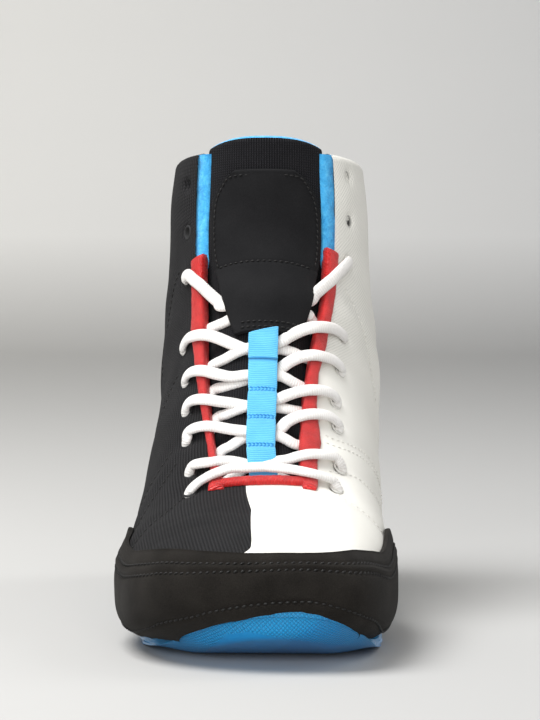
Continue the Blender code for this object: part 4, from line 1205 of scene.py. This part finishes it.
def make_piping():
    pieces = [closed_ends(grid(f"piping_{side}", 20, 260, lay_piping(side))) for side in (-1, 1)]
    pieces.append(closed_ends(grid("piping_foot", 110, 20, lay_piping_foot)))
    dress(joined("throat_piping_satin", pieces), RED_SATIN, ("throat_piping",))


make_piping()


# Tongue: padded black knit, with a blue edge and lining
TONGUE_FOOT, TONGUE_BACK_FOOT, TONGUE_TOP, TONGUE_THICKNESS = 5.2, 9.2, 17.24, 0.0042
# Shares of the grid's rows that go up the front and over the top
TONGUE_FRONT, TONGUE_OVER = 0.56, 0.06


def lay_tongue(across, up):
    """Up the front, over a rounded top and down the back."""
    front = np.clip(up / TONGUE_FRONT, 0, 1)
    over = np.clip((up - TONGUE_FRONT) / TONGUE_OVER, 0, 1)
    back = np.clip((up - 0.62) / 0.38, 0, 1)
    wide = across * 2 - 1
    top = TONGUE_TOP - 0.36 * np.abs(wide) ** 2.6
    place = TONGUE_FOOT + (top - TONGUE_FOOT) * front - (top - TONGUE_BACK_FOOT) * back
    side = np.sign(wide + 1e-9)
    throat = np.where(side < 0, LAST.throat_at(place, -1), LAST.throat_at(place, 1))
    half = throat + 0.0065 - 0.0038 * eased(place, 13.0, 16.0)
    aside = wide * half
    thick = TONGUE_THICKNESS
    face = -0.0029 - 0.0020 * eased(np.abs(aside), throat - 0.006, throat + 0.001) * (1 - eased(place, 12.0, 12.8))
    puff = 0.0006 * (1 - np.abs(wide) ** 4)
    turn = over * math.pi
    out = face + puff - (thick + 2 * puff) / 2 * (1 - np.cos(turn))
    edge = np.clip((1 - np.abs(wide)) / 0.05, 0, 1)
    middle = face - thick / 2
    out = middle + (out - middle) * np.sqrt(np.clip(edge, 0.02, 1))
    points = LAST.at(place, aside, out)
    points += LAST.ahead(place, aside) * (thick / 2 * np.sin(turn))[:, None]
    soft = unevenness(points, 70)
    points += LAST.normal(place, aside) * (soft * 0.0004)[:, None]
    return points, LAST.weave(place, aside)


def make_tongue():
    columns, rows = 90, 230
    tongue = grid("tongue_knit_pad", columns, rows, lay_tongue)
    # The blue starts within the turn over the top
    first_blue = round(0.575 * rows)

    def colour(bm):
        for face in bm.faces:
            row = min(vert.index for vert in face.verts) // (columns + 1)
            face.material_index = int(row >= first_blue)

    work_mesh(tongue.data, colour)
    dress(tongue, (TONGUE_KNIT, BLUE_PLUSH), ("tongue",))


make_tongue()


# Tab on the tongue: its outline as section number and distance from the crest of both edges
TAB = (
    (9.86, -0.0090, 0.0150), (10.0, -0.0104, 0.0166), (10.4, -0.0128, 0.0180), (11.0, -0.0158, 0.0196),
    (11.6, -0.0184, 0.0213), (12.0, -0.0206, 0.0228), (12.5, -0.0222, 0.0240), (13.2, -0.0229, 0.0243),
    (14.2, -0.0227, 0.0236), (14.8, -0.0216, 0.0220), (15.4, -0.0184, 0.0186), (15.7, -0.0156, 0.0158),
    (15.93, -0.0118, 0.0122),
)
TAB_THICKNESS = 0.0015
# The tab's grid, and how many of its columns and rows turn down at each edge
TAB_COLUMNS, TAB_ROWS, TAB_SIDE, TAB_END = 60, 120, 6, 5
TAB_STITCH = (0.0016, 0.0022, 0.00032)


def tab_edges(place):
    return row_at(TAB, place), row_at(TAB, place, 2)


def tab_height(place, wide):
    """How far the tab's face stands off the last: over the lace crossing at its foot, down on the tongue above."""
    over_lace = 0.0030 * np.exp(-(((place - 10.85) / 0.8) ** 2)) + 0.0014 * (1 - eased(place, 9.8, 12.6))
    crown = 0.0004 * (1 - wide**2)
    return -0.0010 + over_lace * (1 - 0.45 * wide**4) + crown - 0.0003 * np.exp(-(((place - 12.0) / 0.06) ** 2))


def lay_tab(across, up):
    """The face from edge to edge, and its turned sides down to the tongue."""
    number = across * TAB_COLUMNS
    wide = np.clip((number - TAB_SIDE) / (TAB_COLUMNS - 2 * TAB_SIDE), 0, 1) * 2 - 1
    down = np.clip(np.maximum(TAB_SIDE - number, number - (TAB_COLUMNS - TAB_SIDE)) / TAB_SIDE, 0, 1)
    lift = up * TAB_ROWS
    place = TAB[0][0] + (TAB[-1][0] - TAB[0][0]) * np.clip((lift - TAB_END) / (TAB_ROWS - 2 * TAB_END), 0, 1)
    fall = np.clip(np.maximum(TAB_END - lift, lift - (TAB_ROWS - TAB_END)) / TAB_END, 0, 1)
    left, right = tab_edges(place)
    aside = (left + right) / 2 + (right - left) / 2 * wide
    turn = np.maximum(down, fall) * math.pi / 2
    out = tab_height(place, wide) - TAB_THICKNESS * (1 - np.cos(turn))
    from_side = np.exp(-(((1 - np.abs(wide)) * (right - left) / 2 / 0.0011) ** 2))
    rim = 0.00030 * (from_side + np.exp(-(((TAB[-1][0] - place) / 0.05) ** 2)))
    points = LAST.at(place, aside, out + rim * (turn == 0))
    points[:, 0] += np.sign(wide) * 0.0005 * np.sin(down * math.pi / 2)
    beyond = 0.0005 * np.sin(fall * math.pi / 2) * np.sign(lift - TAB_ROWS / 2)
    points += LAST.ahead(place, aside, 0.05) * beyond[:, None]
    return points, LAST.weave(place, aside)


def on_tab(chart, lift=0.0002):
    place, aside = np.array(chart).T
    left, right = tab_edges(place)
    wide = (aside - (left + right) / 2) / ((right - left) / 2)
    return LAST.at(place, aside, tab_height(place, wide) + lift), LAST.normal(place, aside)


def make_tab():
    dress(grid("tongue_tab_suede", TAB_COLUMNS, TAB_ROWS, lay_tab), TAB_SUEDE, ("tongue_tab",))
    inset = 0.0019
    border = [(place, left + inset) for place, left, right in TAB if 11.95 < place < 15.5]
    border += [(15.62, -0.0147), (15.72, -0.0105), (15.74, 0.0), (15.72, 0.0108), (15.62, 0.0149)]
    border += [(place, right - inset) for place, left, right in reversed(TAB) if 11.95 < place < 15.5]
    lines = [border, [(12.0, -0.0186), (12.01, 0.0), (12.0, 0.0208)]]
    lines += [[(place, -0.0072), (place, 0.004), (place + 0.02, 0.0142)] for place in (9.93, 10.06)]
    stitches = []
    for number, line in enumerate(lines):
        points, outs = on_tab(smooth_line(line, 240))
        stitches.append(thread_stitches(f"tab_stitch_{number}", points, outs, *TAB_STITCH, 0.12))
    dress(joined("tab_stitches", stitches), DARK_THREAD)


make_tab()


# Lace keeper: a webbing up the middle of the tongue, its end folded back, with bar tacks across
KEEPER_HALF = 0.0053
TACK_STITCH = (0.0016, 0.00135, 0.00034)
KEEPER_MIDDLE = ((5.7, 0.0002), (6.5, 0.0012), (7.4, 0.0020), (8.4, 0.0025), (9.1, 0.0022), (9.8, 0.0017))
# Section numbers of the bar tacks, and of where the cords cross under the webbing
TACKS = (8.40, 7.74, 7.03)
CROSSINGS = (6.55, 7.44, 8.14, 8.83, 9.52, 10.50)


def keeper_middle(place):
    return row_at(KEEPER_MIDDLE, place)


def keeper_height(place):
    crossings = sum(np.exp(-(((place - middle) / 0.24) ** 2)) for middle in CROSSINGS)
    tacked = sum(np.exp(-(((place - tack) / 0.07) ** 2)) for tack in TACKS)
    tucked = np.exp(-(((place - 5.85) / 0.25) ** 2))
    return -0.0008 + 0.0024 * eased(place, 6.45, 6.95) + 0.0007 * crossings - 0.0004 * tacked - 0.0010 * tucked


def lay_webbing(first, last, lift, slope, thick=0.0011):
    def lay(across, up):
        turn = up * math.tau
        place = first + (last - first) * across
        flat = rounded(np.cos(turn), 0.30)
        high = rounded(np.sin(turn), 0.30)
        place = place + slope * flat * np.clip((across - 0.6) / 0.4, 0, 1)
        tack = sum(np.exp(-(((place - where) / 0.05) ** 2)) for where in TACKS)
        aside = keeper_middle(place) + KEEPER_HALF * flat * (1 - 0.035 * tack)
        out = keeper_height(place) + lift + thick / 2 * high - 0.0003 * np.abs(flat) ** 6
        return LAST.at(place, aside, out), LAST.weave(place, aside)

    return lay


def make_keeper():
    strips = [closed_ends(grid("keeper_strip", 190, 28, lay_webbing(5.72, 9.74, 0.0, 0.10)))]
    strips.append(closed_ends(grid("keeper_fold", 40, 28, lay_webbing(9.10, 9.80, 0.00105, 0.10))))
    dress(joined("lace_keeper_webbing", strips), BLUE_WEBBING, ("lace_keeper",))
    tacks = []
    for number, tack in enumerate(TACKS):
        for row, offset in enumerate((-0.035, 0.035)):
            place = np.full(60, tack + offset)
            aside = keeper_middle(place) + np.linspace(-0.0047, 0.0047, 60)
            points, outs = LAST.at(place, aside, keeper_height(place) + 0.0006), LAST.normal(place, aside)
            tacks.append(thread_stitches(f"tack_{number}_{row}", points, outs, *TACK_STITCH, 0.5 - row))
    dress(joined("keeper_bar_tacks", tacks), BLUE_THREAD)


make_keeper()


# Laces: an oval cord from eyelet to eyelet, in and out over the piping
LACE_HALF, LACE_FLAT = 0.00245, 0.00130


def cord(name, stops, count=150):
    """An oval cord through stops of section number, distance from the crest, height and a share of its width."""
    stops = np.array(stops, float)
    fine = np.linspace(0, len(stops) - 1, count)
    chart = np.array([spline(stops, t) for t in fine])
    middle = LAST.at(chart[:, 0], chart[:, 1], chart[:, 2])
    outs = LAST.normal(chart[:, 0], chart[:, 1])
    for _ in range(6):
        outs[1:-1] = outs[1:-1] + outs[:-2] + outs[2:]
        outs /= np.linalg.norm(outs, axis=1, keepdims=True)
    ahead = np.gradient(middle, axis=0)
    ahead /= np.linalg.norm(ahead, axis=1, keepdims=True)
    side = np.cross(ahead, outs)
    side /= np.linalg.norm(side, axis=1, keepdims=True)
    up_way = np.cross(side, ahead)
    run = run_along(middle)

    def lay(across, up):
        row = np.round(across * (count - 1)).astype(int)
        turn = up * math.tau
        wide = LACE_HALF * chart[row, 3]
        thick = LACE_FLAT * (1.35 - 0.35 * chart[row, 3])
        flat = rounded(np.cos(turn), 0.9)
        points = middle[row] + side[row] * (wide * flat)[:, None] + up_way[row] * (thick * np.sin(turn))[:, None]
        return points, np.stack([np.sin(turn / 2) * 0.012, run[row]], 1)

    return closed_ends(grid(name, count - 1, 18, lay))


# Runs of the laces by side and eyelet: section number and distance from the crest in millimetres. Each run has the
# same heights, in millimetres too, and the bar across the foot has its own. LACE_OVER goes from the webbing over the
# piping to an eyelet, and LACE_UNDER comes from under the piping.
LACE_OVER_HEIGHTS = (-0.4, 0.2, 1.6, 3.0, 3.0, 2.2, 0.9)
LACE_OVER = {
    (-1, 2): (
        (6.63, -4.2), (6.67, -10.0), (6.63, -14.5), (6.55, -18.1),
        (6.58, -21.2), (6.64, -23.5), (6.62, -25.2),
    ),
    (-1, 3): (
        (7.47, -3.2), (7.53, -9.1), (7.58, -14.0), (7.60, -17.7),
        (7.64, -21.8), (7.66, -24.8), (7.58, -26.3),
    ),
    (-1, 4): (
        (8.14, -3.3), (8.17, -9.3), (8.21, -14.1), (8.26, -17.7),
        (8.36, -22.2), (8.41, -25.6), (8.39, -28.0),
    ),
    (-1, 5): (
        (8.80, -3.6), (8.79, -9.6), (8.86, -14.6), (8.97, -18.8),
        (9.09, -23.2), (9.17, -27.2), (9.18, -30.5),
    ),
    (-1, 6): (
        (9.47, -4.3), (9.60, -10.5), (9.82, -16.7), (9.92, -20.2),
        (10.07, -25.4), (10.22, -31.2), (10.23, -36.7),
    ),
    (-1, 7): (
        (10.73, -14.9), (10.94, -18.2), (11.28, -22.0), (11.54, -24.3),
        (11.87, -28.2), (12.23, -32.9), (12.35, -37.7),
    ),
    (1, 2): ((6.67, 7.3), (6.72, 10.6), (6.77, 14.2), (6.83, 18.4), (6.94, 23.0), (7.10, 28.6), (7.07, 32.1)),
    (1, 3): ((7.58, 8.4), (7.73, 11.7), (7.83, 15.1), (7.91, 19.2), (8.01, 23.6), (8.11, 28.2), (8.14, 32.7)),
    (1, 4): ((8.27, 8.4), (8.37, 11.7), (8.43, 15.0), (8.50, 19.1), (8.60, 23.6), (8.70, 28.4), (8.73, 32.4)),
    (1, 5): ((9.00, 8.0), (9.16, 12.0), (9.30, 16.1), (9.38, 20.1), (9.47, 25.0), (9.58, 30.6), (9.64, 36.2)),
    (1, 6): ((9.60, 7.5), (9.78, 11.4), (9.96, 15.5), (10.10, 19.4), (10.28, 24.6), (10.47, 30.8), (10.60, 38.2)),
    (1, 7): (
        (10.98, 18.3), (11.32, 22.0), (11.58, 24.6), (11.87, 27.4),
        (12.22, 30.7), (12.61, 34.9), (13.00, 39.8),
    ),
}
LACE_UNDER_HEIGHTS = (-2.7, -2.3, -2.0)
LACE_UNDER = {
    (-1, 1): ((6.19, -13.7), (6.31, -9.7), (6.47, -5.4)),
    (-1, 2): ((7.10, -14.4), (7.23, -9.6), (7.38, -4.9)),
    (-1, 3): ((7.98, -16.0), (8.01, -11.3), (8.07, -5.3)),
    (-1, 4): ((8.69, -18.3), (8.68, -12.7), (8.73, -6.1)),
    (-1, 5): ((9.32, -21.0), (9.34, -13.6), (9.43, -6.9)),
    (-1, 6): ((10.39, -26.9), (10.34, -19.5), (10.35, -13.4)),
    (1, 1): ((6.17, 15.6), (6.18, 11.7), (6.26, 7.0)),
    (1, 2): ((7.32, 18.4), (7.33, 14.2), (7.40, 9.2)),
    (1, 3): ((8.18, 18.5), (8.15, 14.6), (8.14, 9.4)),
    (1, 4): ((8.77, 19.0), (8.79, 14.4), (8.84, 9.1)),
    (1, 5): ((9.51, 19.7), (9.52, 14.2), (9.52, 8.6)),
    (1, 6): ((10.54, 24.4), (10.57, 21.1), (10.60, 18.4)),
}
LACE_BAR = (
    (5.85, -26.3, 0.6), (5.92, -23.6, 1.8), (5.97, -20.4, 2.8), (6.05, -16.6, 3.4), (6.22, -10.7, 3.0),
    (6.23, -5.0, 2.8), (6.26, 0.9, 2.7), (6.23, 5.7, 2.8), (6.18, 11.3, 3.0), (6.11, 16.7, 3.4),
    (6.18, 21.9, 2.6), (6.25, 26.0, 1.6), (6.21, 27.7, 0.4),
)


def in_metres(stops, heights):
    return [(place, aside / 1000, out / 1000, 1.0) for (place, aside), out in zip(stops, heights)]


def dive(side, number, far=1.0):
    """The last of a cord, turning down into its eyelet."""
    place, aside = EYELETS[side][number - 1]
    aside = aside / 1000
    return [
        (place - 0.03, aside + side * 0.0006 * far, -0.0006, 0.84),
        (place - 0.07, aside + side * 0.0003 * far, -0.0024, 0.62),
    ]


def strand(side, number, over):
    """From inside one eyelet, across under the webbing and over the far piping into the next eyelet."""
    place, aside = EYELETS[side][number - 1]
    under = in_metres(LACE_UNDER[side, number], LACE_UNDER_HEIGHTS)
    out = in_metres(LACE_OVER[-side, number + 1], LACE_OVER_HEIGHTS)
    lift = 0.0014 if over else 0.0
    under[1] = (*under[1][:2], under[1][2] + lift * 0.3, 1.0)
    under[2] = (*under[2][:2], under[2][2] + lift * 0.8, 1.0)
    out[0] = (*out[0][:2], out[0][2] - 0.0010 + lift, 1.0)
    middle = ((under[2][0] + out[0][0]) / 2, (under[2][1] + out[0][1]) / 2, -0.0019 + lift, 1.0)
    stops = [(place, aside / 1000 * 0.96, -0.0038, 0.8), (place, (aside / 1000 + under[0][1]) / 2, -0.0038, 0.9)]
    return stops + under + [middle] + out + dive(-side, number + 1)


def make_laces():
    cords = []
    for number in range(1, 7):
        for side in (-1, 1):
            cords.append(cord(f"lace_{number}_{side}", strand(side, number, (side > 0) == (number % 2 == 0))))
    bar = in_metres([stop[:2] for stop in LACE_BAR], [stop[2] for stop in LACE_BAR])
    cords.append(cord("lace_bar", dive(-1, 1)[::-1] + bar + dive(1, 1)))
    dress(joined("laces_cotton", cords), LACE_COTTON, ("laces",))


make_laces()


# Eyelets: a small turned rim with painted shade in its hole, by radius and height of its section
RIM_SECTION = (
    (0.0028, -0.00055), (0.0025, -0.00018), (0.0021, -0.00010), (0.0018, -0.00040), (0.0016, -0.0010),
    (0.0011, -0.0014), (0.0, -0.0015),
)


def make_rim(name, place, aside):
    out = LAST.normal(place, aside)
    middle = LAST.at(place, aside)
    ahead = LAST.at(place + 0.05, aside) - middle
    ahead = unit(ahead - out * (ahead @ out))
    across_way = np.cross(out, ahead)
    steps = np.arange(len(RIM_SECTION))

    def lay(across, up):
        turn = across * math.tau
        radius, lift = (np.interp(up * steps[-1], steps, [row[axis] for row in RIM_SECTION]) for axis in (0, 1))
        along, beside = np.cos(turn) * radius * 1.12, np.sin(turn) * radius
        points = middle + (ahead * along[:, None] + across_way * beside[:, None] + out * lift[:, None])
        return points, np.stack([turn * 0.002, radius], 1)

    def outward(bm):
        bmesh.ops.recalc_face_normals(bm, faces=bm.faces)
        if sum(face.normal.dot(Vector(out)) * face.calc_area() for face in bm.faces) < 0:
            bmesh.ops.reverse_faces(bm, faces=bm.faces)

    rim = grid(name, 24, 12, lay, closed=True)
    work_mesh(rim.data, outward)
    return rim


def make_eyelets():
    rims = []
    for side in (-1, 1):
        for number, (place, aside) in enumerate(EYELETS[side]):
            rim = make_rim(f"eyelet_{number}_{side}", place, aside / 1000)
            rim.data.materials.append(EYELET_DARK if side < 0 else EYELET_LIGHT)
            rims.append(rim)
    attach(joined("eyelet_rims", rims), "root")


def eyelet_finish(name, edge, inside):
    """Thread edge and painted shade inside the hole, by the radius in the map."""

    def build(tree, chart):
        parts = axes(tree, chart)
        share = ranged(tree, parts[1], 0.0015, 0.0021)
        grain = use_effect(tree, GRAIN, Scale=3000.0, Broad=300.0)
        return colour_ramp(tree, share, (0.0, *inside), (1.0, *edge)), grain[0]

    return finish(name, build, 0.8, 0.00008)


# The second colour of each is painted shade inside the hole.
EYELET_DARK = eyelet_finish("eyelet_dark", (0.012, 0.012, 0.013), (0.0008, 0.0008, 0.0009))
EYELET_LIGHT = eyelet_finish("eyelet_light", (0.62, 0.61, 0.57), (0.012, 0.011, 0.010))
make_eyelets()


# Quilting stitches: length, pitch and radius of the thread
QUILT_STITCH = (0.0019, 0.0027, 0.00026)


def make_quilting():
    for name, seams, thread in (
        ("quilting_lateral", LATERAL_SEAMS, DARK_THREAD), ("quilting_medial", MEDIAL_SEAMS, LIGHT_THREAD)
    ):
        rows = []
        for number, seam in enumerate(seams):
            place, aside, points, outs = seam_line(seam, 160)
            lift = relief(place, aside) + 0.0001
            rows.append(thread_stitches(f"{name}_{number}", points + outs * lift[:, None], outs, *QUILT_STITCH))
        if seams is MEDIAL_SEAMS:
            # The uppermost seam of the medial side is double
            place, aside, points, outs = seam_line(seams[0], 160)
            place = place - 0.20
            points = LAST.at(place, aside, relief(place, aside) + 0.0001)
            rows.append(thread_stitches(f"{name}_twin", points, outs, *QUILT_STITCH))
        dress(joined(name, rows), thread)


make_quilting()


# Floor, backdrop and light
def make_studio():
    deselect()
    bpy.ops.mesh.primitive_grid_add(x_subdivisions=4, y_subdivisions=60, size=1, location=(0, 0, 0))
    sweep = bpy.context.object
    sweep.name = sweep.data.name = "studio_sweep"
    for vert in sweep.data.vertices:
        x, t = vert.co.x * 9, (vert.co.y + 0.5) * 6.0
        if t < 3.3:
            vert.co = (x, t - 1.6, 0)
        elif t < 3.9:
            turn = (t - 3.3) / 0.6 * math.pi / 2
            vert.co = (x, 1.7 + 0.4 * math.sin(turn), 0.4 * (1 - math.cos(turn)))
        else:
            vert.co = (x, 2.1, 0.4 + (t - 3.9) * 1.4)
    sweep.data.shade_smooth()
    made = bpy.data.materials.new("studio_paper")
    made.use_nodes = True
    tree = made.node_tree
    shader = tree.nodes["Principled BSDF"]
    parts = axes(tree)
    # Painted light and shade: the paper is lighter on the left and darker on the right, and darker on the floor than
    # just up the wall.
    side = ranged(tree, parts[0], -0.34, 0.36)
    paper_with_painted_light = colour_ramp(tree, side, (0.0, 0.84, 0.83, 0.80), (0.5, 0.74, 0.735, 0.72), (1.0, 0.62, 0.62, 0.615))
    painted_light_by_height = ranged(tree, parts[2], 0.0, 0.10, 0.68, 1.10)
    dimmed = add_node(tree, "ShaderNodeVectorMath", {0: paper_with_painted_light}, operation="SCALE")
    tree.links.new(painted_light_by_height, dimmed.inputs["Scale"])
    tree.links.new(dimmed.outputs[0], shader.inputs["Base Color"])
    shader.inputs["Roughness"].default_value = 0.95
    shader.inputs["Specular IOR Level"].default_value = 0.1
    sweep.data.materials.append(made)


# Name, place, aim, size in metres and watts of each light, and the strength of the light all round
LIGHTS = (
    ("key_above_left", (-0.55, -0.25, 1.35), (0, -0.02, 0.08), (0.9, 0.9), 26),
    ("fill_front", (-0.2, -2.3, 0.75), (0, 0, 0.08), (2.2, 1.3), 33),
    ("rim_right", (1.3, 0.4, 0.9), (0, 0, 0.08), (0.5, 1.2), 6),
)
WORLD_STRENGTH = 0.34


def soft_light(name, place, aim, size, energy):
    data = bpy.data.lights.new(name, "AREA")
    data.shape, data.size, data.size_y = "RECTANGLE", size[0], size[1]
    data.energy = energy
    light = bpy.data.objects.new(name, data)
    light.location = place
    light.rotation_euler = (Vector(aim) - Vector(place)).to_track_quat("-Z", "Y").to_euler()
    bpy.context.scene.collection.objects.link(light)


def make_light():
    world = bpy.data.worlds.new("studio_air")
    bpy.context.scene.world = world
    world.use_nodes = True
    back = world.node_tree.nodes["Background"]
    back.inputs[0].default_value = (1, 1, 1, 1)
    back.inputs[1].default_value = WORLD_STRENGTH
    for light in LIGHTS:
        soft_light(*light)
    bpy.context.scene.view_settings.view_transform = "Standard"


make_studio()
make_light()
